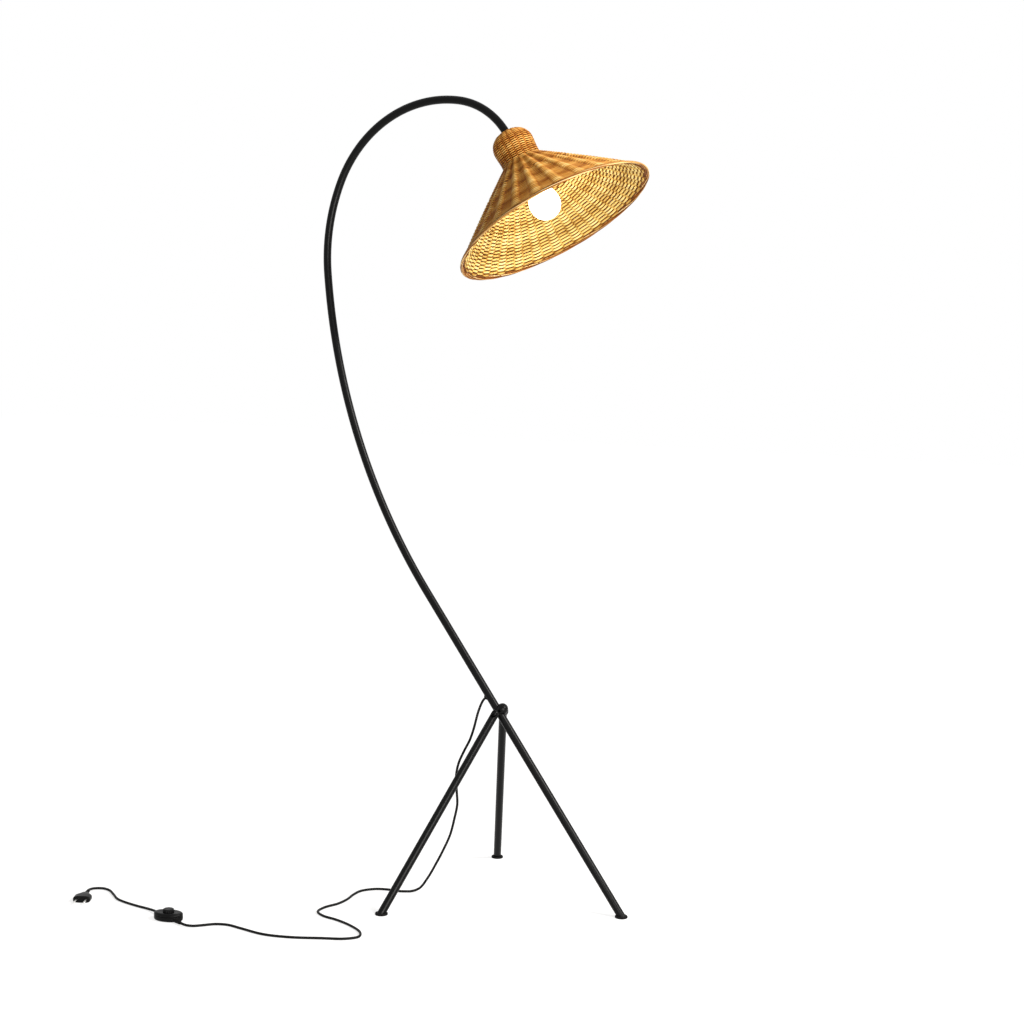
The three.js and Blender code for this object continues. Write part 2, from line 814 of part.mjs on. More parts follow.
function contactCarrier(radius) {
  const body = ringBetween(radius, 0, contactCarrierBottom, contactCarrierTop);
  const slot = block(
    new THREE.Vector3(2 * coreSpread - terminalDiameter - overrun, terminalDiameter, contactCarrierHeight),
    new THREE.Vector3(0, 0, contactCarrierTop),
  );
  return piece('contact_carrier', cut(body, slot), ceramic);
}

// Two cores leave the sheath and end over their terminals
function coresAndTerminals() {
  const radius = coreDiameter / 2;
  const start = sheathEnd - seatGap;
  const terminalTop = contactCarrierTop + seatGap + terminalHeight;
  const end = terminalTop + seatGap;
  const apart = radius + seatGap;
  return [-1, 1].flatMap((side) => {
    const points = Array.from({ length: coreRings + 1 }, (_, i) => {
      const share = i / coreRings;
      const spread = apart + ((coreSpread - apart) * (1 - Math.cos(Math.PI * share))) / 2;
      return new THREE.Vector3(side * spread, 0, start + (end - start) * share);
    });
    const word = side < 0 ? 'live' : 'neutral';
    const terminal = ringBetween(terminalDiameter / 2, 0, contactCarrierTop + seatGap, terminalTop);
    return [
      piece(`${word}_core`, along(points, disc(radius, cordSides)), side < 0 ? rattan : cordPlastic),
      piece(`${word}_terminal`, terminal.translate(side * coreSpread, 0, 0), brass),
    ];
  });
}

// Bulb

const capShellTop = tipTop - tipHeight - insulatorHeight - 2 * seatGap;
const capShellBottom = capShellTop - screwCapHeight;
const seamPlane = tipTop - bulbSeamDrop;
const bulbEnd = tipTop - bulbLength;

// Rounded screw thread drawn as plain ridges
function screwCapProfile() {
  const outer = screwCapDiameter / 2;
  const ridges = Math.floor((screwCapHeight - threadPitch) / threadPitch);
  const points = [[screwCapHoleDiameter / 2, capShellTop], [outer - 2 * threadDepth, capShellTop]];
  for (let i = 0; i < ridges; i += 1) {
    const crest = capShellTop - threadPitch * (i + 1);
    points.push([outer - threadDepth, crest + threadPitch / 2], [outer, crest]);
  }
  points.push([outer - threadDepth, capShellBottom + threadPitch / 4], [outer - threadDepth, capShellBottom]);
  const inside = points
    .slice(1)
    .map(([radius, height], i) => [radius - screwCapWall, i === 0 ? height - screwCapWall : height]);
  const hole = [screwCapHoleDiameter / 2, capShellTop - screwCapWall];
  return [...points, ...inside.toReversed(), hole];
}

// Outer line of the globe from the seam to the far pole
function globeLine(inset) {
  const radius = bulbDiameter / 2;
  const centre = bulbEnd + radius;
  const seam = bulbSeamDiameter / 2;
  const steps = 5;
  const shoulder = Array.from({ length: steps }, (_, i) => {
    const share = i / steps;
    const swell = Math.sin((Math.PI / 2) * share);
    return [seam + (radius - seam) * swell - inset, seamPlane - seatGap + (centre - seamPlane) * share];
  });
  const dome = Array.from({ length: steps + 2 }, (_, i) => {
    const angle = (Math.PI / 2) * (i / (steps + 1));
    return [(radius - inset) * Math.cos(angle), centre - (radius - inset) * Math.sin(angle)];
  });
  return [...shoulder, ...dome.slice(0, -1), [0, bulbEnd + inset]];
}

function bulbPieces() {
  const neck = screwCapDiameter / 2 - threadDepth;
  const seam = bulbSeamDiameter / 2;
  const collarTop = capShellBottom - seatGap;
  const boardTop = seamPlane + ledBoardRecess;
  const boardShare = (collarTop - boardTop) / (collarTop - seamPlane);
  const boardRadius = neck + (seam - neck) * boardShare - bulbWall - 2 * seatGap;
  const tipBottom = tipTop - tipHeight;
  const insulatorTop = tipBottom - seatGap;
  return [
    piece('bulb_tip_contact', ringBetween(tipDiameter / 2, 0, tipBottom, tipTop), zinc),
    piece(
      'bulb_insulator',
      turned([
        [0, insulatorTop - insulatorHeight],
        [insulatorDiameter / 2, insulatorTop - insulatorHeight],
        [tipDiameter / 2, insulatorTop],
        [0, insulatorTop],
      ]),
      blackGlass,
    ),
    piece('bulb_screw_cap', turned(screwCapProfile()), brass),
    piece(
      'bulb_collar',
      turned([
        [neck - bulbWall, collarTop],
        [seam - bulbWall, seamPlane],
        [seam, seamPlane],
        [neck, collarTop],
      ]),
      whitePlastic,
    ),
    ledBoard(boardRadius, boardTop),
    piece(
      'bulb_globe',
      turned([...globeLine(0), ...globeLine(bulbWall).toReversed()]),
      opalGlass,
    ),
  ];
}

function ledBoard(radius, top) {
  const bottom = top - ledBoardThickness;
  const board = ringBetween(radius, 0, bottom, top);
  const emitters = Array.from({ length: emitterCount }, (_, i) =>
    block(
      new THREE.Vector3(emitterSize, emitterSize, emitterHeight + ledBoardThickness / 2),
      new THREE.Vector3(emitterCircle / 2, 0, bottom + (ledBoardThickness / 2 - emitterHeight) / 2),
    ).rotateZ((2 * Math.PI * i) / emitterCount),
  );
  return piece('bulb_led_board', join(board, ...emitters), whitePlastic);
}

// Foot switch, about its own upright axis, leads along X

function oval(inset) {
  const turn = THREE.MathUtils.degToRad(switchLongTurn);
  const middle = new THREE.Vector2();
  return new THREE.Shape(
    Array.from({ length: switchFacets }, (_, i) => {
      const angle = (2 * Math.PI * i) / switchFacets;
      const along = (switchLength / 2 - inset) * Math.cos(angle);
      const aside = (switchWidth / 2 - inset) * Math.sin(angle);
      return new THREE.Vector2(along, aside).rotateAround(middle, turn);
    }),
  );
}

// The oval with a bevelled top edge; what the extrusion has under the bottom is cut away
function switchBlock(inset, bottom) {
  const body = new THREE.ExtrudeGeometry(oval(inset + switchBevel), {
    depth: switchHeight,
    bevelEnabled: true,
    bevelThickness: switchBevel,
    bevelSize: switchBevel,
    bevelSegments: 2,
  }).translate(0, 0, -switchBevel - inset);
  return common(body, slabBetween(bottom, switchHeight));
}

function switchShell() {
  return cut(switchBlock(0, 0), switchBlock(switchWall, switchWall));
}

function slabBetween(bottom, top) {
  const side = 2 * switchLength;
  return block(new THREE.Vector3(side, side, top - bottom), new THREE.Vector3(0, 0, (bottom + top) / 2));
}

function towerPlaces() {
  const angle = THREE.MathUtils.degToRad(switchLongTurn);
  return [towerSpacing / 2, -towerSpacing / 2].map((distance) => [
    distance * Math.cos(angle),
    distance * Math.sin(angle),
  ]);
}

function atTowers(geometry) {
  return towerPlaces().map(([x, y]) => geometry.clone().translate(x, y, 0));
}

const screwTop = screwSink + screwHeadHeight + screwLength;
const screwSeat = screwSink + screwHeadHeight + seatGap;
const buttonHoleRadius = buttonDiameter / 2 + buttonRibDepth + seatGap;

function switchBase() {
  const shell = common(switchShell(), slabBetween(0, switchSplit));
  const tower = ringBetween(towerDiameter / 2 + towerFootWidth, 0, switchWall / 2, switchSplit);
  const hole = ringBetween(screwDiameter / 2 + seatGap, 0, -overrun, switchSplit + overrun);
  const headHole = ringBetween(screwHeadDiameter / 2 + seatGap, 0, -overrun, screwSeat);
  const side = new THREE.Vector3(switchLength / 2, 0, leadHeight);
  const leadHoles = rod(side.clone().setX(-side.x), side, reliefNeckDiameter / 2 + seatGap);
  return piece(
    'switch_base',
    cut(join(shell, ...atTowers(tower)), ...atTowers(hole), ...atTowers(headHole), leadHoles),
    blackPlastic,
  );
}

function switchCover() {
  const shell = common(switchShell(), slabBetween(switchSplit + seatGap, switchHeight));
  const tower = ringBetween(towerDiameter / 2, 0, switchSplit + seatGap, switchHeight);
  const hole = ringBetween(screwDiameter / 2 + seatGap, 0, 0, screwTop + seatGap);
  const buttonHole = ringBetween(buttonHoleRadius, 0, switchSplit, switchHeight + overrun);
  const insideShell = common(join(...atTowers(tower)), switchBlock(switchWall / 2, switchSplit));
  return piece(
    'switch_cover',
    cut(join(shell, insideShell), ...atTowers(hole), buttonHole),
    blackPlastic,
  );
}

function switchButton() {
  const radius = buttonDiameter / 2;
  const ribs = Array.from({ length: 2 * buttonRibs }, (_, i) => {
    const angle = (Math.PI * i) / buttonRibs;
    const reach = radius + (i % 2 === 0 ? buttonRibDepth : 0);
    return new THREE.Vector2(reach * Math.cos(angle), reach * Math.sin(angle));
  });
  const flangeTop = switchHeight - switchWall - seatGap;
  const flangeBottom = flangeTop - buttonFlangeThickness;
  const top = switchHeight + buttonProud;
  const grip = plate(new THREE.Shape(ribs), flangeBottom + buttonFlangeThickness / 2, top);
  const flange = ringBetween(buttonHoleRadius + buttonFlange, 0, flangeBottom, flangeTop);
  const hollow = ringBetween(radius - buttonWall, 0, flangeBottom - overrun, top - buttonWall);
  return piece('switch_button', cut(join(grip, flange), hollow), blackPlastic);
}

// Least distance between the wire's surfaces on neighbouring curls
function leastGap(points, wire) {
  const perCurl = (points.length - 1) / springCurls;
  let least = Infinity;
  for (let i = 0; i < points.length; i += 1) {
    for (let j = i + Math.ceil(perCurl / 2); j < points.length; j += 1) {
      least = Math.min(least, points[i].distanceTo(points[j]) - wire);
    }
  }
  return least;
}

function buttonSpring() {
  const bottom = switchWall + seatGap + contactBlockHeight + seatGap + springWire / 2;
  const top = switchHeight + buttonProud - buttonWall - seatGap - springWire / 2;
  const steps = springCurlRings * springCurls;
  const points = Array.from({ length: steps + 1 }, (_, i) => {
    const angle = (2 * Math.PI * i) / springCurlRings;
    const radius = (springDiameter - springWire) / 2;
    const height = bottom + ((top - bottom) * i) / steps;
    return new THREE.Vector3(radius * Math.cos(angle), radius * Math.sin(angle), height);
  });
  console.log(`button spring: least gap to itself ${leastGap(points, springWire).toFixed(2)} mm`);
  return piece('button_spring', along(points, disc(springWire / 2, springSides)), zinc);
}

// A tapered sleeve through the switch's wall, and the cord's end inside it
const longAxis = THREE.MathUtils.degToRad(switchLongTurn);
const switchSide =
  switchLength * switchWidth
  / (2 * Math.hypot(switchWidth * Math.cos(longAxis), switchLength * Math.sin(longAxis)));
const reliefMouth = switchSide + seatGap + reliefLength;

// Its foot follows the oval's slanting side, and its neck goes through the wall
function strainRelief() {
  const bore = cordRadius + seatGap;
  const start = switchSide - reliefDiameter;
  const cone = turned([
    [bore, start],
    [reliefDiameter / 2, start],
    [reliefMouthDiameter / 2, reliefMouth],
    [bore, reliefMouth],
  ], tubeSides);
  const neckEnd = switchSide + reliefDiameter / 2;
  const neck = ringBetween(reliefNeckDiameter / 2, bore, switchSide - switchWall, neckEnd, tubeSides);
  const lay = (geometry) => geometry.rotateY(Math.PI / 2).translate(0, 0, leadHeight);
  return join(cut(lay(cone), plate(oval(-seatGap), 0, switchHeight)), lay(neck));
}

function switchLead() {
  const inner = new THREE.Vector3(contactBlockLength / 2 + seatGap, 0, leadHeight);
  return rod(inner, new THREE.Vector3(reliefMouth, 0, leadHeight), cordRadius, cordSides);
}

function footSwitch() {
  const group = new THREE.Group();
  const blockBottom = switchWall + seatGap;
  const contactBlock = block(
    new THREE.Vector3(contactBlockLength, contactBlockWidth, contactBlockHeight),
    new THREE.Vector3(0, 0, blockBottom + contactBlockHeight / 2),
  );
  const screw = turned([
    [0, screwSink],
    [screwHeadDiameter / 2, screwSink],
    [screwHeadDiameter / 2, screwSink + screwHeadHeight],
    [screwDiameter / 2, screwSink + screwHeadHeight],
    [screwDiameter / 2, screwTop],
    [0, screwTop],
  ], tubeSides);
  group.add(
    switchBase(),
    switchCover(),
    switchButton(),
    buttonSpring(),
    piece('switch_contact_block', contactBlock, whitePlastic),
    ...atTowers(screw).map((placed, i) => piece(`switch_screw_${i + 1}`, placed, zinc)),
    piece('lamp_side_relief', strainRelief(), rubber),
    piece('plug_side_relief', strainRelief().rotateZ(Math.PI), rubber),
    piece('lamp_side_lead', switchLead(), cordPlastic),
    piece('plug_side_lead', switchLead().rotateZ(Math.PI), cordPlastic),
  );
  group.rotation.z = THREE.MathUtils.degToRad(switchTurn);
  group.position.set(switchPlace.x, switchPlace.y, 0);
  return group;
}

// Plug, drawn with its pins along +X, lying flat

function plug() {
  const group = new THREE.Group();
  const half = plugWidth / 2;
  const tail = plugTailWidth / 2;
  const core = plugLength - 2 * plugEdge;
  const shape = new THREE.Shape([
    new THREE.Vector2(0, -tail + plugEdge),
    new THREE.Vector2(core / 2, -half + plugEdge),
    new THREE.Vector2(core, -half + plugEdge),
    new THREE.Vector2(core, half - plugEdge),
    new THREE.Vector2(core / 2, half - plugEdge),
    new THREE.Vector2(0, tail - plugEdge),
  ]);
  const body = new THREE.ExtrudeGeometry(shape, {
    depth: plugThickness - 2 * plugEdge,
    bevelEnabled: true,
    bevelThickness: plugEdge,
    bevelSize: plugEdge,
    bevelSegments: 3,
  }).translate(plugEdge, 0, plugEdge);
  const middle = plugThickness / 2;
  const front = plugLength;
  const pinPlaces = [-1, 1].map((side) => (side * pinSpacing) / 2);
  const pinAlong = (y, from, to, radius) =>
    rod(new THREE.Vector3(from, y, middle), new THREE.Vector3(to, y, middle), radius);
  const sockets = pinPlaces.map((y) =>
    pinAlong(y, front - pinSeat - seatGap, front + overrun, pinDiameter / 2 + seatGap));
  group.add(piece('plug_body', cut(body, ...sockets), blackPlastic));
  pinPlaces.forEach((y, i) => {
    const pin = pinAlong(y, front - pinSeat, front + pinLength, pinDiameter / 2);
    group.add(piece(`plug_pin_${i + 1}`, pin, zinc));
  });
  const bore = cordRadius + seatGap;
  const relief = turned([
    [bore, -plugReliefLength],
    [reliefMouthDiameter / 2, -plugReliefLength],
    [plugReliefDiameter / 2, -seatGap],
    [bore, -seatGap],
  ], tubeSides).rotateY(Math.PI / 2).translate(0, 0, middle);
  group.add(piece('plug_relief', relief, rubber));
  group.rotation.z = THREE.MathUtils.degToRad(plugTurn);
  group.position.set(plugPlace.x, plugPlace.y, 0);
  return group;
}

// The free cord

function atSwitch(distance) {
  const angle = THREE.MathUtils.degToRad(switchTurn);
  return new THREE.Vector3(
    switchPlace.x + distance * Math.cos(angle),
    switchPlace.y + distance * Math.sin(angle),
    leadHeight,
  );
}

function atPlug(distance) {
  const angle = THREE.MathUtils.degToRad(plugTurn);
  return new THREE.Vector3(
    plugPlace.x - distance * Math.cos(angle),
    plugPlace.y - distance * Math.sin(angle),
    plugThickness / 2,
  );
}

function freeCord(name, points, rings) {
  const route = new THREE.CatmullRomCurve3(points, false, 'centripetal');
  const section = disc(cordRadius, cordSides);
  const tube = new THREE.ExtrudeGeometry(section, { steps: rings, extrudePath: route });
  return { mesh: piece(name, tube, cordPlastic), length: route.getLength() };
}

function cords(shift) {
  const out = (distance) =>
    exitAt.clone().addScaledVector(exitOut, distance).add(new THREE.Vector3(shift, 0, 0));
  const vectors = (route) => route.map(([x, y, z]) => new THREE.Vector3(x, y, z));
  const mouth = reliefMouth + seatGap;
  const lampSide = [
    out(grommetMouth + seatGap),
    out(grommetMouth + cordDiameter),
    out(grommetMouth + 2 * cordDiameter),
    ...vectors(lampCordRoute),
    atSwitch(mouth + cordDiameter),
    atSwitch(mouth),
  ];
  const plugSide = [
    atSwitch(-mouth),
    atSwitch(-mouth - cordDiameter),
    ...vectors(plugCordRoute),
    atPlug(plugReliefLength + seatGap + cordDiameter),
    atPlug(plugReliefLength + seatGap),
  ];
  const lampCord = freeCord('lamp_cord', lampSide, lampCordRings);
  const plugCord = freeCord('plug_cord', plugSide, plugCordRings);
  console.log(`lamp cord ${lampCord.length.toFixed(0)} mm, plug cord ${plugCord.length.toFixed(0)} mm`);
  return [lampCord.mesh, plugCord.mesh];
}

// Assembly

function head() {
  const group = new THREE.Group();
  group.add(...shade(), shadeCarrier(), ...holderPieces(), ...bulbPieces());
  const against = headingVector(tubeEnd.heading + Math.PI);
  group.quaternion.setFromUnitVectors(new THREE.Vector3(0, 0, 1), against);
  group.position.copy(tubeEnd.point);
  return group;
}

function stand() {
  const group = new THREE.Group();
  group.add(
    mainTube(),
    leftLeg(),
    backLeg(),
    hubFasteners(),
    footPad('front_foot', frontFoot, hub),
    footPad('left_foot', footPoint(2), legTop(-1)),
    footPad('back_foot', footPoint(1), legTop(1)),
    cordGrommet(),
    innerCable(),
  );
  return group;
}

// The lamp is centred over the origin; the cord's route is given about that origin
const lamp = new THREE.Group();
lamp.add(stand(), head());
lamp.updateMatrixWorld(true);
const box = new THREE.Box3().setFromObject(lamp, true);
const shift = -(box.min.x + box.max.x) / 2;
lamp.position.x = shift;

const floorLamp = new THREE.Group();
floorLamp.add(lamp, footSwitch(), plug(), ...cords(shift));

export default floorLamp;
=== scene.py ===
"""Rattan floor lamp, dressed for its look. Metres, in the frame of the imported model."""

import bmesh
import bpy
import numpy as np
from mathutils import Matrix


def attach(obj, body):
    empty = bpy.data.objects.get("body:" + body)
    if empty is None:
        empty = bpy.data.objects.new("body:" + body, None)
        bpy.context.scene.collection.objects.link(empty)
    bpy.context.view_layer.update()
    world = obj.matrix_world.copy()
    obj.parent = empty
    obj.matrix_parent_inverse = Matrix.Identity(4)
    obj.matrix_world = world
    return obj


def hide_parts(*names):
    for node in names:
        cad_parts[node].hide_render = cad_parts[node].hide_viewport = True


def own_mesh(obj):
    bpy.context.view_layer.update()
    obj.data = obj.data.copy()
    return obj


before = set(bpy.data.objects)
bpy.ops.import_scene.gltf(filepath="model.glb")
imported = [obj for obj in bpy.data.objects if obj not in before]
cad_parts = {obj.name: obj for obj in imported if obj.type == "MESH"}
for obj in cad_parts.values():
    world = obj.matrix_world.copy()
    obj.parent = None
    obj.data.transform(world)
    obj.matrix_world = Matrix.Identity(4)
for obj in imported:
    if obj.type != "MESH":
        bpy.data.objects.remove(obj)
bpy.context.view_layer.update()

MM = 0.001
GAP = 0.3  # between two pieces that rest on each other, mm
LAMP_SHIFT = 81.843  # middle of the feet, along +X, mm
TUBE_RADIUS = 8.0
HUB = np.array([-11.08 + LAMP_SHIFT, 0.0, 374.0])
FOOT_CIRCLE = 270.0
FOOT_AXIS_HEIGHT = 3.0  # where a leg's middle line meets the foot circle, mm
FOOT_CUT = 2.1  # the tubes end level here, inside their rubber feet
LEG_OFFSET = 2 * TUBE_RADIUS + GAP
BOLT_HEAD_SEAT = LEG_OFFSET + TUBE_RADIUS - 4
BOSS_INNER = TUBE_RADIUS + GAP
BOSS_OUTER = BOSS_INNER + 12
BOSS_RADIUS = 11.0
BALL_PLACE = (2.0, 10.0, 1.0)  # up the tube, off it and along Y from the hub
BALL_RADIUS = 11.5
HEAD = np.array([85.624, 0.0, 1476.775])
HEAD_AXIS = np.array([-0.539926, 0.0, 0.841713])
RIM_PLANE = -157.95  # along the head's axis, mm
SWITCH_PLACE = np.array([-379.5, -478.0])
SWITCH_TURN = -20.0
SWITCH_LONG_TURN = 34.0  # the oval's long axis from the leads' line
SWITCH_HALF_LENGTH, SWITCH_HALF_WIDTH = 29.0, 18.5
LEAD_HEIGHT = 4.7
PLUG_PLACE = np.array([-604.6, -455.3])
PLUG_TURN = -62.0
PLUG_MIDDLE = 6.8  # height of the plug's middle plane
PLUG_PIN_SPREAD = 9.3


# Places: 4 by 4 matrices that carry a piece's own millimetres into the lamp's frame

def placing(columns, origin):
    matrix = np.eye(4)
    matrix[:3, :3] = np.stack(columns, 1)
    matrix[:3, 3] = origin
    return matrix


def lying_at(x, y, turn=0.0):
    """On the floor, own X turned by the angle about the vertical."""
    c, s = np.cos(np.radians(turn)), np.sin(np.radians(turn))
    return placing([(c, s, 0), (-s, c, 0), (0, 0, 1)], (x, y, 0))


def along_x(place):
    """Own Z laid along the place's X."""
    return place @ placing([(0, 0, -1), (0, 1, 0), (1, 0, 0)], (0, 0, 0))


IN_PLACE = np.eye(4)
Y = np.array([0.0, 1.0, 0.0])
HEAD_PLACE = placing([(HEAD_AXIS[2], 0, -HEAD_AXIS[0]), (0, 1, 0), HEAD_AXIS], HEAD)
HUB_PLACE = placing([(1, 0, 0), (0, 0, -1), (0, 1, 0)], HUB)
SWITCH = lying_at(*SWITCH_PLACE, SWITCH_TURN)
PLUG = lying_at(*PLUG_PLACE, PLUG_TURN)


# Camera and cords

def in_scene(name, data):
    thing = bpy.data.objects.new(name, data)
    bpy.context.scene.collection.objects.link(thing)
    return thing


CAMERA_TURN, CAMERA_TILT, CAMERA_ROLL = 28.24, 5.55, 1.28  # degrees
CAMERA_DISTANCE, CAMERA_ASIDE, CAMERA_HEIGHT = 3667.24, 6.96, 1134.77
FOCAL_PIXELS, PHOTO_PIXELS = 1860.07, 1024
SENSOR = 36


def photo_camera():
    """The camera that was fitted to the feet, legs and tube of the photograph."""
    turn, tilt, roll = np.radians([CAMERA_TURN, CAMERA_TILT, CAMERA_ROLL])
    right = np.array([np.cos(turn), np.sin(turn), 0])
    ahead = np.array([-np.sin(turn), np.cos(turn), 0])
    axis = ahead * np.cos(tilt) - np.array([0, 0, np.sin(tilt)])
    up = ahead * np.sin(tilt) + np.array([0, 0, np.cos(tilt)])
    spot = -ahead * CAMERA_DISTANCE + right * CAMERA_ASIDE + np.array([LAMP_SHIFT, 0, CAMERA_HEIGHT])
    rolled_right = right * np.cos(roll) + up * np.sin(roll)
    rolled_up = up * np.cos(roll) - right * np.sin(roll)
    data = bpy.data.cameras.new("photo_camera")
    data.sensor_width = SENSOR
    data.lens = SENSOR * FOCAL_PIXELS / PHOTO_PIXELS
    data.clip_end = 60
    camera = in_scene("photo_camera", data)
    camera.matrix_world = Matrix(placing([rolled_right, rolled_up, -axis], spot * MM).tolist())
    bpy.context.scene.camera = camera


CORD_RADIUS = 2.5
LYING = CORD_RADIUS + 0.1  # height of a cord's middle line
# The first four points are the bend from the grommet's mouth, 2.5 diameters in radius
LAMP_CORD_ROUTE = [
    (34.3, -1.1, 394.6), (31.4, -3.7, 387.3), (29.5, -7.0, 379.0), (28.1, -10.1, 370.9),
    (27, -12, 364), (22, -17, 336), (16, -21, 314), (7, -27, 292),
    (-2, -33, 266), (-6, -35, 238), (-4, -34, 208), (-3, -33, 182), (-7, -36, 154),
    (-14, -40, 120), (-24, -47, 91), (-37, -55, 60), (-51, -64, 30), (-64, -73, 9.5),
    (-80, -83, 2.7),
    *((x, y, LYING) for x, y in (
        (-101, -94), (-127, -97), (-149, -108), (-165, -132), (-165, -160), (-158, -196),
        (-158, -228), (-167, -263), (-163, -291), (-140, -307), (-104, -314), (-62, -329),
        (-26, -352), (-14, -376), (-30, -399), (-68, -419), (-120, -445), (-172, -458),
        (-230, -452), (-262, -449), (-284, -458), (-299, -475))),
    (-312, -489, 2.8), (-323, -495, 3.8),
]
PLUG_CORD_ROUTE = [
    (-446, -454, 3.2), (-483, -449, LYING), (-517, -443, LYING), (-541, -435, LYING),
    (-566, -417, LYING), (-592, -400, 2.7), (-609, -398.5, 3.2), (-621, -410.5, 4.4),
    (-620, -426, 6.2),
]
GROMMET_MOUTH = TUBE_RADIUS + 2
RELIEF_MOUTH = 44.34  # from the switch's middle
PLUG_RELIEF = 24.0  # its length
CORD_EXIT = 40.0  # up the tube from the hub
CORD_STRAIGHT = 5.3  # a cord's first straight run at a relief


def angles(count):
    """Even angles round a circle, from 0 on."""
    return 2 * np.pi * np.arange(count) / count


def carried(place, x, y=0.0, z=0.0):
    return (place @ np.array([x, y, z, 1.0]))[:3]


def through(points, steps=9):
    """A centripetal Catmull-Rom curve through the points: each span is the cubic whose end slopes
    come from its neighbours, with knots as far apart as the square root of the spans."""
    p = np.asarray(points, float)
    p = np.vstack([2 * p[0] - p[1], p, 2 * p[-1] - p[-2]])
    gap = np.sqrt(np.linalg.norm(np.diff(p, axis=0), axis=1))[:, None]
    a, b, c, d = p[:-3], p[1:-2], p[2:-1], p[3:]
    g0, g1, g2 = gap[:-2], gap[1:-1], gap[2:]
    start = ((b - a) / g0 - (c - a) / (g0 + g1) + (c - b) / g1) * g1
    end = ((c - b) / g1 - (d - b) / (g1 + g2) + (d - c) / g2) * g1
    t = (np.arange(steps) / steps)[None, :, None]
    b, c, start, end = (v[:, None, :] for v in (b, c, start, end))
    square, cube = 3 * (c - b) - 2 * start - end, 2 * (b - c) + start + end
    curve = b + start * t + square * t**2 + cube * t**3
    return np.vstack([curve.reshape(-1, 3), p[-2]])


def cord(name, points):
    """A round cord through the points, above the floor. Returns it, its length and its start."""
    line = through(points)
    line[:, 2] = np.maximum(line[:, 2], LYING)
    line = line * MM
    data = bpy.data.curves.new(name, "CURVE")
    data.dimensions = "3D"
    spline = data.splines.new("POLY")
    spline.points.add(len(line) - 1)
    spline.points.foreach_set("co", np.hstack([line, np.ones((len(line), 1))]).ravel())
    data.bevel_depth = CORD_RADIUS * MM
    data.bevel_resolution = 5
    data.use_fill_caps = True
    spline.use_smooth = True
    length = float(np.linalg.norm(np.diff(line, axis=0), axis=1).sum())
    return in_scene(name, data), length, tuple(line[0])


photo_camera()

rise = HUB - np.array([FOOT_CIRCLE + LAMP_SHIFT, 0, FOOT_AXIS_HEIGHT])
rise /= np.linalg.norm(rise)
exit_out = np.array([-rise[2], 0, rise[0]])
exit_at = HUB + rise * CORD_EXIT
lamp_cord, lamp_cord_length, lamp_cord_exit = cord("supply_cord", [
    exit_at + exit_out * (GROMMET_MOUTH + GAP),
    *LAMP_CORD_ROUTE,
    carried(SWITCH, RELIEF_MOUTH + CORD_STRAIGHT, 0, LEAD_HEIGHT),
    carried(SWITCH, RELIEF_MOUTH + GAP, 0, LEAD_HEIGHT),
])
plug_cord, plug_cord_length, plug_cord_exit = cord("plug_end_cord", [
    carried(SWITCH, -RELIEF_MOUTH - GAP, 0, LEAD_HEIGHT),
    carried(SWITCH, -RELIEF_MOUTH - CORD_STRAIGHT, 0, LEAD_HEIGHT),
    *PLUG_CORD_ROUTE,
    carried(PLUG, -PLUG_RELIEF - CORD_STRAIGHT, 0, PLUG_MIDDLE),
    carried(PLUG, -PLUG_RELIEF - GAP, 0, PLUG_MIDDLE),
])


# Materials

def add_node(tree, kind, links=(), **values):
    """A new node. A value goes to the property of its name, or else to the input of that name."""
    node = tree.nodes.new(kind)
    for key, value in values.items():
        if hasattr(node, key):
            setattr(node, key, value)
        else:
            node.inputs[key.replace("_", " ")].default_value = value
    for socket, source in dict(links).items():
        tree.links.new(source, node.inputs[socket])
    return node


class Nodes:
    """A material's node tree, with short calls to add and join nodes."""

    def __init__(self, name):
        self.material = bpy.data.materials.new(name)
        self.material.use_nodes = True
        self.tree = self.material.node_tree
        self.shader = self.tree.nodes["Principled BSDF"]

    def add(self, kind, links=(), **values):
        return add_node(self.tree, kind, links, **values)

    def noise(self, source, size, stretch=(1, 1, 1), detail=3.0):
        """Noise whose grain is about size metres, stretched along the axes."""
        scale = [1 / size / s for s in stretch]
        mapping = self.add("ShaderNodeMapping", {"Vector": source}, Scale=scale)
        return self.add("ShaderNodeTexNoise", {"Vector": mapping.outputs[0]}, Scale=1.0,
                        Detail=detail, Roughness=0.55).outputs["Fac"]

    def ramp(self, source, stops):
        node = self.add("ShaderNodeValToRGB", {"Fac": source})
        marks = node.color_ramp.elements
        marks[0].position, marks[0].color = stops[0][0], (*stops[0][1], 1)
        marks[1].position, marks[1].color = stops[-1][0], (*stops[-1][1], 1)
        for place, colour in stops[1:-1]:
            marks.new(place).color = (*colour, 1)
        return node.outputs["Color"]

    def span(self, source, low, high):
        return self.add("ShaderNodeMapRange", {"Value": source}, To_Min=low,
                        To_Max=high).outputs["Result"]

    def bump(self, source, depth, strength=1.0):
        return self.add("ShaderNodeBump", {"Height": source}, Distance=depth,
                        Strength=strength).outputs["Normal"]

    def join(self, socket, source):
        self.tree.links.new(source, self.shader.inputs[socket])

    def sockets(self, **values):
        for key, value in values.items():
            self.shader.inputs[key.replace("_", " ")].default_value = value

    def coordinates(self, output="Object"):
        return self.add("ShaderNodeTexCoord").outputs[output]


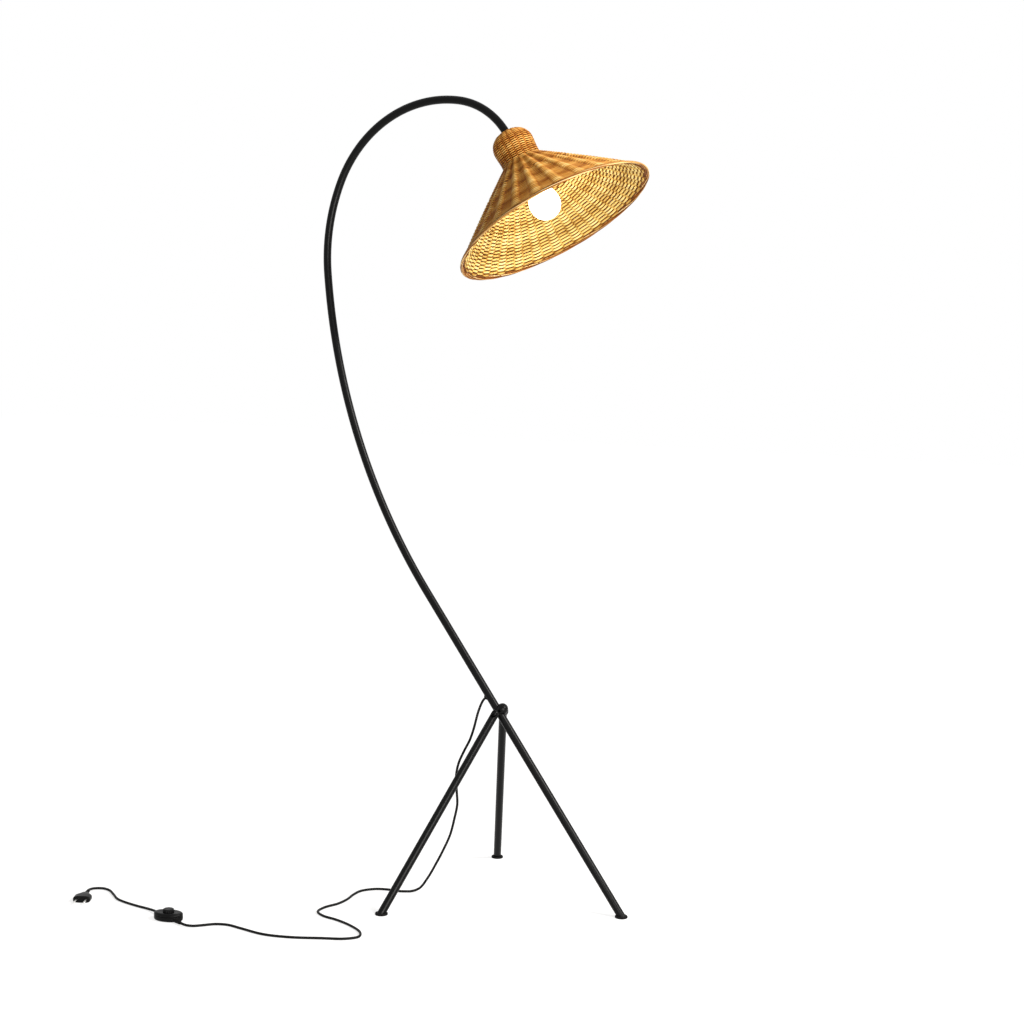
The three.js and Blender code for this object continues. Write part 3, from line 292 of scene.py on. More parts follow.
def surface_finish(name, dark, light, grain, rough, bump=0.0, **sockets):
    """A finish between two colours: clouds of the grain's size, a bump a tenth of that, and a
    roughness that goes with the clouds."""
    nodes = Nodes(name)
    place = nodes.coordinates()
    clouds = nodes.noise(place, grain)
    nodes.join("Base Color", nodes.ramp(clouds, [(0.3, dark), (0.7, light)]))
    nodes.join("Roughness", nodes.span(clouds, rough[0], rough[1]))
    if bump:
        fine = nodes.noise(place, grain / 10, detail=2.0)
        nodes.join("Normal", nodes.bump(fine, bump))
    nodes.sockets(**sockets)
    return nodes.material


powder_coat = surface_finish("powder_coat", (0.0016, 0.0016, 0.0017), (0.003, 0.0029, 0.0029),
                             0.006, (0.27, 0.36), 0.00004, Specular_IOR_Level=0.11)
moulded_black = surface_finish("moulded_black", (0.002, 0.002, 0.0021), (0.0042, 0.0042, 0.0042),
                               0.004, (0.32, 0.44), 0.00005, Specular_IOR_Level=0.09)
black_rubber = surface_finish("black_rubber", (0.003, 0.003, 0.003), (0.006, 0.0058, 0.0056),
                              0.003, (0.62, 0.8), 0.00005, Specular_IOR_Level=0.1)
cord_sheath = surface_finish("cord_sheath", (0.0025, 0.0025, 0.0025), (0.005, 0.0049, 0.0047),
                             0.008, (0.42, 0.55), 0.00003, Specular_IOR_Level=0.09)
core_brown = surface_finish("core_brown", (0.16, 0.06, 0.02), (0.22, 0.09, 0.03), 0.004, (0.4, 0.5))
zinc_plate = surface_finish("zinc_plate", (0.50, 0.51, 0.53), (0.66, 0.67, 0.68), 0.003,
                            (0.25, 0.42), 0.00003, Metallic=1.0)
brass_plate = surface_finish("brass_plate", (0.56, 0.38, 0.15), (0.74, 0.55, 0.26), 0.003,
                             (0.22, 0.4), 0.00003, Metallic=1.0)
nickel_plate = surface_finish("nickel_plate", (0.55, 0.54, 0.52), (0.70, 0.69, 0.67), 0.004,
                              (0.2, 0.34), 0.00002, Metallic=1.0)
white_ceramic = surface_finish("white_ceramic", (0.62, 0.60, 0.55), (0.72, 0.70, 0.66), 0.003,
                               (0.45, 0.6), 0.00004)
white_plastic = surface_finish("white_plastic", (0.70, 0.69, 0.67), (0.78, 0.77, 0.75), 0.006,
                               (0.38, 0.5), 0.00003)
black_glass = surface_finish("black_glass", (0.012, 0.012, 0.014), (0.03, 0.03, 0.034), 0.004,
                             (0.08, 0.16), 0.00002)


def lit_opal():
    """Opal glass lit from inside: the glow is a little cooler in clouds of the coating."""
    nodes = Nodes("lit_opal")
    clouds = nodes.noise(nodes.coordinates(), 0.02)
    coating = [(0.3, (0.86, 0.84, 0.8)), (0.7, (0.92, 0.9, 0.87))]
    light = [(0.2, (1.0, 0.90, 0.78)), (0.8, (1.0, 0.93, 0.86))]
    nodes.join("Base Color", nodes.ramp(clouds, coating))
    nodes.join("Emission Color", nodes.ramp(clouds, light))
    nodes.sockets(Emission_Strength=10.5, Roughness=0.25, Coat_Weight=0.3)
    return nodes.material


def cane_finish(name, stain, bark):
    """Varnished cane: each strand's tone picks a brown, streaks run along it, short and long, and
    the bark's fine grooves are a bump along it. The shade's inner side takes a paler, yellower ramp:
    partly paler bark, partly painted light of the bulb's glow."""
    nodes = Nodes(name)
    tone = nodes.add("ShaderNodeAttribute", attribute_name="tone").outputs["Fac"]
    inner = nodes.add("ShaderNodeAttribute", attribute_name="inner").outputs["Fac"]
    strand = nodes.coordinates("UV")
    streak = nodes.noise(strand, 0.02, (1.6, 0.06, 1), 4.0)
    patch = nodes.noise(nodes.coordinates(), 0.045, (1, 1, 1), 2.0)
    mixed = tone
    for clouds, reach in ((streak, 0.22), (patch, 0.12)):
        mixed = nodes.add("ShaderNodeMath", {0: mixed, 1: nodes.span(clouds, -reach, reach)},
                          operation="ADD").outputs[0]
    both = nodes.add("ShaderNodeMix", {0: inner}, data_type="RGBA")
    stops = np.linspace(0, 1, 5)
    nodes.tree.links.new(nodes.ramp(mixed, list(zip(stops, stain))), both.inputs[6])
    # The inner ramp is partly paler bark and partly painted light of the bulb's glow.
    nodes.tree.links.new(nodes.ramp(mixed, list(zip(stops, bark))), both.inputs[7])
    nodes.join("Base Color", both.outputs[2])
    nodes.join("Roughness", nodes.span(streak, 0.34, 0.56))
    groove = nodes.noise(strand, 0.004, (8, 0.12, 1), 2.0)
    nodes.join("Normal", nodes.bump(groove, 0.0002, 0.6))
    nodes.sockets(Specular_IOR_Level=0.06)
    return nodes.material


stained = [(0.085, 0.018, 0.002), (0.31, 0.085, 0.009), (0.56, 0.205, 0.027), (0.77, 0.40, 0.088),
           (0.87, 0.62, 0.24)]
# Inner faces: partly paler bark, partly painted light of the bulb's glow.
pale_bark_and_glow = [(0.10, 0.032, 0.005), (0.34, 0.16, 0.026), (0.68, 0.46, 0.125), (0.82, 0.63, 0.23),
             (0.88, 0.73, 0.34)]
wrapped = [(0.10, 0.025, 0.003), (0.30, 0.10, 0.018), (0.54, 0.28, 0.08), (0.76, 0.52, 0.23),
           (0.87, 0.71, 0.40)]
cane = cane_finish("cane", stained, pale_bark_and_glow)
border_cane = cane_finish("border_cane", wrapped, pale_bark_and_glow)
glow = lit_opal()


# Surfaces

def surface(name, points, material, body="lamp", place=IN_PLACE, wrap_rows=False, uv=None,
            marks=None, weld=True, sharp=35.0, replaces=(), slot=None):
    """One mesh from any number of grids of points, shape (grids, rows, columns, 3), in mm. Each
    cell is one quad. The last column goes on to the first, and a wrapped grid's last row too. The
    quads are turned round where the volume that they enclose comes out negative."""
    points = np.reshape(points, (-1, *points.shape[-3:]))
    grids, rows, columns = points.shape[:3]
    flat = (points.reshape(-1, 3) @ place[:3, :3].T + place[:3, 3]) * MM
    i = np.arange(rows if wrap_rows else rows - 1)
    i, j = (v.ravel() for v in np.meshgrid(i, np.arange(columns), indexing="ij"))
    corner_i = np.stack([i, i + 1, i + 1, i], 1)
    corner_j = np.stack([j, j, j + 1, j + 1], 1)
    cell = (corner_i % rows) * columns + corner_j % columns
    faces = (np.arange(grids)[:, None, None] * rows * columns + cell).reshape(-1, 4)
    p = flat[faces] - flat.mean(0)
    volume = (p[:, 0] * np.cross(p[:, 1], p[:, 2]) + p[:, 0] * np.cross(p[:, 2], p[:, 3])).sum()
    if volume < 0:
        faces, corner_i, corner_j = faces[:, ::-1], corner_i[:, ::-1], corner_j[:, ::-1]
    mesh = bpy.data.meshes.new(name)
    mesh.from_pydata(flat, [], faces)
    if uv is not None:
        uv = np.broadcast_to(uv, (grids, *uv.shape[-3:]))
        layer = mesh.uv_layers.new(name="strand")
        layer.data.foreach_set("uv", uv[:, corner_i, corner_j].reshape(-1).astype(np.float32))
    for mark, values in (marks or {}).items():
        layer = mesh.attributes.new(mark, "FLOAT", "POINT")
        values = np.broadcast_to(values, points.shape[:3])
        layer.data.foreach_set("value", values.ravel().astype(np.float32))
    if weld:
        shape = bmesh.new()
        shape.from_mesh(mesh)
        bmesh.ops.remove_doubles(shape, verts=shape.verts, dist=2e-6)
        shape.to_mesh(mesh)
        shape.free()
    mesh.polygons.foreach_set("use_smooth", np.ones(len(mesh.polygons), bool))
    mesh.set_sharp_from_angle(angle=np.radians(sharp))
    mesh.materials.append(material)
    mesh.update()
    piece = in_scene(name, mesh)
    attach(piece, body)
    if replaces:
        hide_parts(*replaces)
    return piece


def eased(profile, radius, closed=True, steps=4):
    """A profile whose corners are rounded: each corner becomes a parabola that starts and ends
    at the radius, or a little under half a side, away from it. An open profile keeps its ends."""
    p = np.asarray(profile, float)
    before, after = np.roll(p, 1, 0) - p, np.roll(p, -1, 0) - p
    reach = lambda v: np.minimum(radius, 0.45 * np.linalg.norm(v, axis=1))
    step_to = lambda v: v / np.maximum(np.linalg.norm(v, axis=1), 1e-9)[:, None] * reach(v)[:, None]
    a, b = p + step_to(before), p + step_to(after)
    t = np.linspace(0, 1, steps + 1)[None, :, None]
    bend = a[:, None] * (1 - t) ** 2 + 2 * p[:, None] * t * (1 - t) + b[:, None] * t**2
    if closed:
        return bend.reshape(-1, 2)
    return np.vstack([p[:1], bend[1:-1].reshape(-1, 2), p[-1:]])


def turned_points(profile, segments=64, shape=None):
    """A profile of radius and height turned about Z: x = r cos a, y = r sin a. shape, one value
    for each row and angle, stretches the radius."""
    profile = np.asarray(profile, float)
    angle = angles(segments)
    radius = profile[:, :1] * (1 if shape is None else shape)
    radius = np.broadcast_to(radius, (len(profile), segments))
    height = np.broadcast_to(profile[:, 1:], radius.shape)
    return np.stack([radius * np.cos(angle), radius * np.sin(angle), height], -1)


def turned(name, profile, material, closed=False, segments=64, **rest):
    return surface(name, turned_points(profile, segments), material, wrap_rows=closed, **rest)


def unit(v):
    return v / np.linalg.norm(v, axis=-1, keepdims=True)


def tube_points(centre, side, lift, radius, sides=40):
    """A tube about a line: centre + radius (cos a times side + sin a times lift), with a ring at
    each point. side and lift are square to the line."""
    angle = angles(sides)
    radius = np.broadcast_to(radius, (len(centre),))[:, None, None]
    c, s = np.cos(angle)[None, :, None], np.sin(angle)[None, :, None]
    ring = side[:, None] * c + lift[:, None] * s
    return centre[:, None] + ring * radius


def capped(points):
    """A tube's rings with each end drawn to its middle point."""
    first = np.broadcast_to(points[:1].mean(1, keepdims=True), points[:1].shape)
    last = np.broadcast_to(points[-1:].mean(1, keepdims=True), points[-1:].shape)
    return np.concatenate([first, points, last])


# Stand

def arch_line():
    """The tube's middle line in the XZ plane: a straight run, four arcs that turn clockwise, and
    a short straight end. Returns points and headings."""
    start = np.array([FOOT_CIRCLE + LAMP_SHIFT, FOOT_AXIS_HEIGHT])
    heading = np.arctan2(HUB[2] - start[1], HUB[0] - start[0])
    way = np.array([np.cos(heading), np.sin(heading)])
    runs = np.concatenate([np.linspace(-14, 20, 12), np.linspace(40, 754, 30)])
    points = [start + runs[:, None] * way]
    headings = [np.full(len(runs), heading)]
    arcs = ((1267, 31.55, 48), (376, 28.95, 30), (260, 75, 72), (159.3, 48.97, 44))
    for radius, turn, count in arcs:
        last = points[-1][-1]
        centre = last + radius * np.array([np.sin(heading), -np.cos(heading)])
        along = heading - np.radians(turn) * np.arange(1, count + 1) / count
        points.append(centre + radius * np.stack([-np.sin(along), np.cos(along)], 1))
        headings.append(along)
        heading = along[-1]
    way = np.array([np.cos(heading), np.sin(heading)])
    points.append(points[-1][-1] + np.array([[22.0], [44.0]]) * way)
    headings.append(np.full(2, heading))
    line, heading = np.vstack(points), np.concatenate(headings)
    return np.stack([line[:, 0], 0 * line[:, 0], line[:, 1]], 1), heading


def cut_level(points, way):
    """A tube cut level at its foot: what lies under the cut slides up along the tube to it."""
    under = np.maximum(FOOT_CUT - points[..., 2:], 0)
    return points + under / way[2] * way


def arched_tube():
    centre, heading = arch_line()
    lift = np.stack([-np.sin(heading), 0 * heading, np.cos(heading)], 1)
    side = np.broadcast_to(Y, lift.shape)
    points = cut_level(capped(tube_points(centre, side, lift, TUBE_RADIUS, 48)), rise)
    surface("arched_tube", points, powder_coat, replaces=["main_tube"])


def foot_point(index):
    angle = 2 * np.pi * index / 3
    x, y = FOOT_CIRCLE * np.cos(angle) + LAMP_SHIFT, FOOT_CIRCLE * np.sin(angle)
    return np.array([x, y, FOOT_AXIS_HEIGHT])


def leg(name, foot, side_sign, seat_radius, seat_at, round_top, node):
    """A straight tube from its foot to its place beside the hub. A round top is a half ball. Near
    the bolt the outer side is flattened to the seat: |y| is at most seat_at there."""
    top = HUB + np.array([0, side_sign * LEG_OFFSET, 0])
    way = unit(top - foot)
    length = np.linalg.norm(top - foot)
    runs = np.concatenate([np.linspace(-12, 12, 10), np.linspace(30, length - 30, 20),
                           np.linspace(length - 24, length, 50)])
    radius = np.full(len(runs), TUBE_RADIUS)
    if round_top:
        bend = np.radians(np.linspace(3, 89, 24))
        runs = np.concatenate([runs, length + TUBE_RADIUS * np.sin(bend)])
        radius = np.concatenate([radius, TUBE_RADIUS * np.cos(bend)])
    side = unit(np.cross(way, (1.0, 0, 0)))
    lift = np.cross(side, way)
    centre = foot + runs[:, None] * way
    ones = np.ones((len(runs), 1))
    points = cut_level(capped(tube_points(centre, side * ones, lift * ones, radius, 64)), way)
    near = np.hypot(points[..., 0] - HUB[0], points[..., 2] - HUB[2]) < seat_radius
    flat = side_sign * np.minimum(side_sign * points[..., 1], seat_at)
    points[..., 1] = np.where(near, flat, points[..., 1])
    surface(name, points, powder_coat, replaces=[node])


def hub_ball():
    """A welded ball on the tube's upper side: the sphere, cut flat in front of the boss. Points
    inside the tube go out to its wall, along the ray from a line in the tube's lower half."""
    drop = 3.0  # of that line under the tube's middle
    up_tube, off_tube = unit(rise), np.cross(Y, rise)
    bend = np.pi * np.linspace(0, 1, 33)[:, None]
    angle = angles(64)
    along = BALL_PLACE[0] + BALL_RADIUS * np.sin(bend) * np.cos(angle)
    off = BALL_PLACE[1] + BALL_RADIUS * np.sin(bend) * np.sin(angle)
    y = BALL_PLACE[2] - BALL_RADIUS * np.cos(bend) + 0 * angle
    y = np.minimum(y, BOSS_INNER - GAP)
    wall = TUBE_RADIUS + GAP
    reach = np.hypot(off + drop, y)
    way_off, way_y = (off + drop) / reach, y / reach
    to_wall = drop * way_off + np.sqrt(wall**2 - drop**2 * way_y**2)
    inside = np.hypot(off, y) < wall
    off = np.where(inside, way_off * to_wall - drop, off)
    y = np.where(inside, way_y * to_wall, y)
    points = HUB + along[..., None] * up_tube + off[..., None] * off_tube + y[..., None] * Y
    surface("hub_ball", points, powder_coat, replaces=["back_leg"])


def hub_pieces():
    boss = [(0, BOSS_INNER), (BOSS_RADIUS, BOSS_INNER), (BOSS_RADIUS, BOSS_OUTER), (0, BOSS_OUTER)]
    boss = eased(boss, 2.6, closed=False, steps=8)
    turned("leg_boss", boss, powder_coat, place=HUB_PLACE)
    angle = angles(72)
    hexagon = np.cos(np.pi / 6) / np.cos(angle % (np.pi / 3) - np.pi / 6)
    dome = np.radians(np.linspace(62, 4, 12))
    crown = np.stack([5.2 * np.cos(dome) / np.cos(dome[-1]), -0.6 - 3.1 * np.sin(dome)], 1)
    far = BOSS_OUTER + BOLT_HEAD_SEAT + 8.3
    profile = np.vstack([[(0, -1.3), (1.7, -1.3), (1.7, -3.25), (2.0, -3.4)], crown,
                         [(5.2, -GAP), (3.0, -GAP), (3.0, far - 0.4), (2.6, far), (0, far)]])
    profile[:, 1] -= BOLT_HEAD_SEAT
    socket = np.ones((len(profile), 72))
    socket[1:3] = hexagon
    surface("hub_bolt_round", turned_points(profile, 72, socket), powder_coat,
            place=HUB_PLACE, replaces=["hub_bolt"])
    low = BOSS_OUTER + GAP
    ring = eased([(3.3, low), (6, low), (6, low + 1.2), (3.3, low + 1.2)], 0.2, steps=2)
    turned("hub_washer_round", ring, zinc_plate, closed=True, place=HUB_PLACE,
           replaces=["hub_washer"])


def foot_pad(index, node):
    x, y, _ = foot_point(index)
    profile = eased([(0, 0), (12.5, 0), (12.5, 3.4), (11.0, 4.6), (8.4, 4.6), (8.4, 2.0), (0, 2.0)],
                    1.0, closed=False)
    turned(f"{node}_pad", profile, black_rubber, place=lying_at(x, y), replaces=[node])


def grommet():
    """A collar about the cord's exit. Its foot follows the tube: z = sqrt(R^2 - y^2) there."""
    place = placing([-Y, np.cross(exit_out, -Y), exit_out], exit_at)
    low, top = TUBE_RADIUS - 1.8, GROMMET_MOUTH
    profile = [(2.8, low), (5.4, low), (5.4, top - 1.4), (4.2, top), (2.8, top)]
    profile = eased(profile, 0.5, steps=3)
    points = turned_points(profile, 48)
    saddle = np.sqrt(np.maximum((TUBE_RADIUS + 0.2) ** 2 - points[..., 0] ** 2, 0))
    low = points[..., 2] < TUBE_RADIUS + GAP
    points[..., 2] = np.where(low, saddle, np.maximum(points[..., 2], saddle + 0.2))
    surface("exit_grommet", points, black_rubber, wrap_rows=True, place=place,
            replaces=["cord_grommet"])


# Shade: rods woven round stakes, over one and under one

WAIST_RADIUS, WAIST_HEIGHT = 40.0, 141.0
RIM_RADIUS = 205.0
NECK_RADIUS, NECK_HEIGHT, SHADE_HEIGHT = 41.5, 178.0, 208.0
HOLE_RADIUS = TUBE_RADIUS + 0.8
WEAVE_HALF = 2.0
NECK_STAKES = 26
CONE_PITCH, NECK_PITCH = 3.5, 2.1
BORDER_WIDTH, BORDER_THICKNESS = 10.0, 5.0


def shade_line():
    """The weave's middle line as radius and height above the rim's plane, 0.5 mm apart: the cone,
    the neck that swells by half a cosine, and a quarter ellipse to the hole, softened over 5 mm,
    then moved inwards by half the weave."""
    cone = np.linspace((RIM_RADIUS, 0), (WAIST_RADIUS, WAIST_HEIGHT), 300)
    share = np.linspace(0, 1, 60)[1:]
    swell = (NECK_RADIUS - WAIST_RADIUS) * (1 - np.cos(np.pi * share)) / 2
    dip = np.sin(np.pi * share) * (1 - share)
    neck_foot = WAIST_HEIGHT + 3
    neck = np.stack([WAIST_RADIUS + swell - dip, neck_foot + (NECK_HEIGHT - neck_foot) * share], 1)
    bend = np.pi / 2 * np.linspace(0, 1, 60)[1:]
    dome = np.stack([HOLE_RADIUS + (NECK_RADIUS - HOLE_RADIUS) * np.cos(bend),
                     NECK_HEIGHT + (SHADE_HEIGHT - NECK_HEIGHT) * np.sin(bend)], 1)
    line = np.vstack([cone, neck, dome])
    run = np.concatenate([[0], np.cumsum(np.linalg.norm(np.diff(line, axis=0), axis=1))])
    even = np.arange(0, run[-1], 0.5)
    line = np.stack([np.interp(even, run, line[:, 0]), np.interp(even, run, line[:, 1])], 1)
    padded = np.vstack([np.repeat(line[:1], 5, 0), line, np.repeat(line[-1:], 5, 0)])
    soft = np.stack([np.convolve(padded[:, k], np.ones(11) / 11, "valid") for k in (0, 1)], 1)
    soft[:5], soft[-5:] = line[:5], line[-5:]
    way = unit(np.gradient(soft, axis=0))
    out = np.stack([way[:, 1], -way[:, 0]], 1)
    return even, soft - out * WEAVE_HALF, way, out


LINE_RUN, LINE, LINE_WAY, LINE_OUT = shade_line()


def on_line(run):
    pick = lambda table: np.stack([np.interp(run, LINE_RUN, table[:, k]) for k in (0, 1)], -1)
    return pick(LINE), unit(pick(LINE_WAY)), unit(pick(LINE_OUT))


def flute(radius, angle):
    """How far the weave bulges over the stakes that come down from the neck: a cosine round the
    shade times a power of a half sine down the cone, deepest half way."""
    share = np.clip((radius - WAIST_RADIUS) / (RIM_RADIUS - WAIST_RADIUS), 0, 1)
    neck = np.interp(radius, [28, 40, 44, 60], [0.05, 0.2, 0.3, 0])
    return (neck + 2.0 * np.sin(np.pi * share) ** 0.6) * np.cos(NECK_STAKES * angle)


def pitch_at(radius):
    return np.interp(radius, [45, 90], [NECK_PITCH, CONE_PITCH])


def row_places(first, last):
    """Runs up the line whose spacing is CONE_PITCH on the cone and NECK_PITCH on the neck: the
    whole numbers of the running sum of one over the spacing."""
    spacing = pitch_at(LINE[:, 0])
    count = np.concatenate([[0], np.cumsum(np.diff(LINE_RUN) / spacing[1:])])
    return np.interp(np.arange(np.interp(first, LINE_RUN, count), np.interp(last, LINE_RUN, count)),
                     count, LINE_RUN)


def round_shade(flat, angle, wide=0.0):
    """Radius and height over the rim's plane, turned to the angle and moved sideways."""
    c, s = np.cos(angle), np.sin(angle)
    x, y = flat[..., 0] * c - wide * s, flat[..., 0] * s + wide * c
    return np.stack([x, y, flat[..., 1] + RIM_PLANE], -1)


def strand_uv(length, shift, girth=0.01):
    """Metres along a strand and round its eight sides, with a shift so that grains differ."""
    return np.stack(np.broadcast_arrays(length, np.arange(9) / 9 * girth + shift), -1)


def woven(name, points, material, node, uv, tone, inner=0.0, wrap_rows=True, sharp=180):
    surface(name, points, material, place=HEAD_PLACE, wrap_rows=wrap_rows, uv=uv, weld=False,
            marks={"tone": tone, "inner": inner}, sharp=sharp, replaces=[node])


def ring_of_rods(name, runs, first_row, waves, per_wave, swing=1.15):
    """Rods that circle the shade, one at each run up the line. A rod lies at the middle line plus
    swing times a flattened cosine of the angle, so it passes over one stake and under the next, and
    the next rod does the opposite. Its section is an ellipse across the weave. Painted shade lowers
    the tone where a rod lies behind its neighbours, along its edges, in the rib valleys and in the
    first rows by the border; on the inner side it also falls on the backs of the ribs."""
    rows = first_row + np.arange(len(runs))
    pitch = pitch_at(on_line(runs)[0][:, 0])[:, None, None]
    count = waves * per_wave
    angle = angles(count)
    around = angles(8)
    row = rows[:, None]
    wander = 0.16 * np.sin(5 * angle + 1.7 * row) + 0.12 * np.sin(11 * angle + 2.3 * row)
    base, way, out = on_line(runs[:, None] + wander)
    wave = np.cos(waves * angle + np.pi * (row % 2))
    wave = wave * (1.35 - 0.35 * wave**2)
    lift = swing * wave + flute(base[..., 0], angle)
    girth = 1.40 + 0.04 * np.sin(2.9 * row)[..., None]
    across_weave = np.minimum(0.5 * pitch, 1.25) * girth * np.cos(around)
    bulge = (lift[..., None] + across_weave)[..., None]
    side = (0.5 * pitch * girth * np.sin(around))[..., None]
    flat = base[:, :, None] + out[:, :, None] * bulge + way[:, :, None] * side
    length = np.arange(count + 1) / count * 2 * np.pi * base[:, 0, 0][:, None] * MM + row * 0.173
    on_cone = np.interp(pitch, [NECK_PITCH, CONE_PITCH], [0, 1])
    tint = 0.86 + 0.13 * np.sin(12.9898 * row) + 0.05 * np.sin(3 * angle + 4.1 * row)
    tint = tint - 0.05 * (1 - on_cone[..., 0])
    face = np.cos(around)
    # Painted shade: a rod's face darkens where it lies behind its neighbours.
    recess_shade = (0.5 - 0.5 * face * wave[..., None]) ** 2
    # Painted shade in the valleys between the ribs on the outer faces; on the inner faces, painted
    # shade on the backs of the ribs.
    rib_valley_shade = 0.2 * (1 - np.cos(NECK_STAKES * angle)[:, None])
    band = 0.08 * np.cos(2 * np.pi * row / 5.6 + 0.5 * np.sin(1.3 * row)) * np.cos(13 * angle)
    # Painted shade along a rod's edges, where it meets the rows beside it.
    crease_shade = (0.85 - 0.63 * on_cone) * np.sin(around) ** 2
    # Painted shade on the first rows by the border.
    edge = np.exp(-row / 1.5)[..., None]
    # Outer faces: painted shade plus the bands, a pattern of the rows. Inner faces: painted shade
    # only. depth is this, taken from the tint.
    outer_shade_and_bands = (1.35 - 0.5 * on_cone) * recess_shade + face * on_cone * (rib_valley_shade + band[..., None])
    outer_shade_and_bands = outer_shade_and_bands + 0.1 * edge + crease_shade
    inside = 1.3 * recess_shade + 0.5 * (0.4 - rib_valley_shade) + 0.4 * edge + 0.5 * crease_shade
    depth = np.where(face > 0, outer_shade_and_bands, inside)
    tone = tint[..., None] - depth
    woven(name, round_shade(flat, angle[:, None]), cane, "shade_weave",
          strand_uv(length[..., None], row[..., None] * 0.011, 0.009), tone, 0.5 - 0.5 * face)


def stakes(name, count, offset, low, high):
    """Flat canes that run up the shade at even angles, inside the weave. Their dark tone is painted
    shade of the recesses that they lie in.
    """
    run = np.arange(low, high, 3.0)
    angle = (2 * np.pi * (np.arange(count) + offset) / count)[:, None]
    around = angles(8)
    base, _, out = on_line(np.broadcast_to(run, (count, len(run))))
    lift = (flute(base[..., 0], angle)[..., None] + 0.8 * np.cos(around))[..., None]
    wide = np.interp(base[..., 0], [10, 40, 200], [0.8, 1.3, 1.9])[..., None] * np.sin(around)
    flat = base[:, :, None] + out[:, :, None] * lift
    angle = angle[..., None]
    # The low tone, near the darkest brown, is painted shade.
    woven(name, round_shade(flat, angle, wide), cane, "shade_weave",
          strand_uv(run[:, None] * MM, angle * 0.1), 0.12 + 0.08 * np.sin(7.7 * angle),
          wrap_rows=False)


def rim_roll():
    """The border: strands that run round the rim and wind slowly round a flat core. A strand's
    centre is on an ellipse that lies along the cone's wall, at an angle that grows with the angle
    round the rim, and its own section is a circle."""
    strands, turns, count = 7, 4, 720
    wall = unit(np.array([WAIST_RADIUS - RIM_RADIUS, WAIST_HEIGHT]))
    out = np.array([wall[1], -wall[0]])
    half = np.array([BORDER_WIDTH, BORDER_THICKNESS]) / 2
    middle = np.array([RIM_RADIUS, 0]) + (-1, 1) * np.hypot(wall * half[0], out * half[1])
    angle = angles(count)
    start = 2 * np.pi * np.arange(strands)[:, None] / strands
    wind = (start + turns * angle)[..., None]
    around = angles(8)
    thick = 1.3 + 0.1 * np.sin(5 * start)[..., None]
    reach = half - 1.25 + 0.1 * np.sin(7 * angle + 3 * start)[..., None]
    along = reach[..., :1] * np.cos(wind) + thick * np.cos(around)
    aside = reach[..., 1:] * np.sin(wind) + thick * np.sin(around)
    flat = middle + along[..., None] * wall + aside[..., None] * out
    length = np.arange(count + 1)[:, None] / count * 1.25
    centre = np.arctan2(reach[..., 1:] * np.sin(wind), reach[..., :1] * np.cos(wind))
    # Painted shade: a strand darkens on the side that faces the core and its neighbours. The cosine
    # of three times start gives each strand its own tone.
    tone = 0.56 + 0.28 * np.cos(3 * start)[..., None] - 0.4 * (1 - np.cos(around - centre))
    woven("rim_strands", round_shade(flat, angle[:, None]), border_cane,
          "rim_border", strand_uv(length + start[..., None], start[..., None] * 0.31), tone)
    around = angles(10)
    core = (middle + np.cos(around)[:, None] * wall * (half[0] - 0.6)
            + np.sin(around)[:, None] * out * (half[1] - 1.0) + (0, RIM_PLANE))
    uv = np.meshgrid(np.arange(11) * 0.002, np.arange(161) * 0.008, indexing="ij")
    # The core takes the darkest brown: painted shade in the gaps between the strands.
    woven("rim_core", turned_points(core, 160), border_cane, "rim_border",
          np.stack(uv, -1), 0.05, sharp=35)


def shade():
    """The rows from the border up to the hole, in four pieces, then the stakes and the border."""
    runs = row_places(11.0, LINE_RUN[-1] - 1.5)
    radius = on_line(runs)[0][:, 0]
    outer = int((radius > 95).sum())
    half = outer // 2
    top = int(np.argmax(radius < 24))
    ring_of_rods("weave_rim_side", runs[:half], 0, NECK_STAKES, 14)
    ring_of_rods("weave_middle", runs[half:outer], half, NECK_STAKES, 14)
    ring_of_rods("weave_neck", runs[outer:top], outer, 9, 22, swing=1.05)
    ring_of_rods("weave_crown", runs[top:], top, 6, 12, swing=0.9)
    stakes("long_stakes", NECK_STAKES, 0.0, 6.0, runs[top])
    stakes("short_stakes", NECK_STAKES, 0.5, 6.0, runs[outer] + 6)
    stakes("crown_stakes", 12, 0.0, runs[top] - 4, LINE_RUN[-1] - 1)
    rim_roll()


# Lamp holder and bulb

def holder():
    cap = eased([(6.3, -8.4), (14, -8.4), (18, -10.4), (18, -28), (20, -28), (20, -8.4), (16, -6.4),
                 (6.3, -6.4)], 0.9)
    turned("holder_cap_round", cap, moulded_black, closed=True, place=HEAD_PLACE,
           replaces=["holder_cap"])
    body = eased([(18, -37.3), (15, -37.3), (15, -60), (20, -60), (20, -30.2), (19.4, -29.8),
                  (19.4, -28.3), (18, -28.3)], 0.5)
    turned("holder_body_round", body, moulded_black, closed=True, place=HEAD_PLACE,
           replaces=["holder_body"])


BULB_TIP = -38.6
BULB_END = BULB_TIP - 106
SEAM = BULB_TIP - 44
SEAM_RADIUS = 21.5
GLOBE_RADIUS, GLOBE_WALL = 30.0, 1.2


def globe_line(inset, samples=28):
    """Shoulder: the radius swells from the seam as a quarter sine. Then a quarter circle."""
    centre = BULB_END + GLOBE_RADIUS
    swell = GLOBE_RADIUS - SEAM_RADIUS
    share = np.linspace(0, 1, samples, endpoint=False)
    shoulder = np.stack([SEAM_RADIUS + swell * np.sin(np.pi / 2 * share) - inset,
                         SEAM - GAP + (centre - SEAM + GAP) * share], 1)
    bend = np.pi / 2 * np.linspace(0, 1, samples)
    radius = GLOBE_RADIUS - inset
    dome = np.stack([radius * np.cos(bend), centre - radius * np.sin(bend)], 1)
    return np.vstack([shoulder, dome])


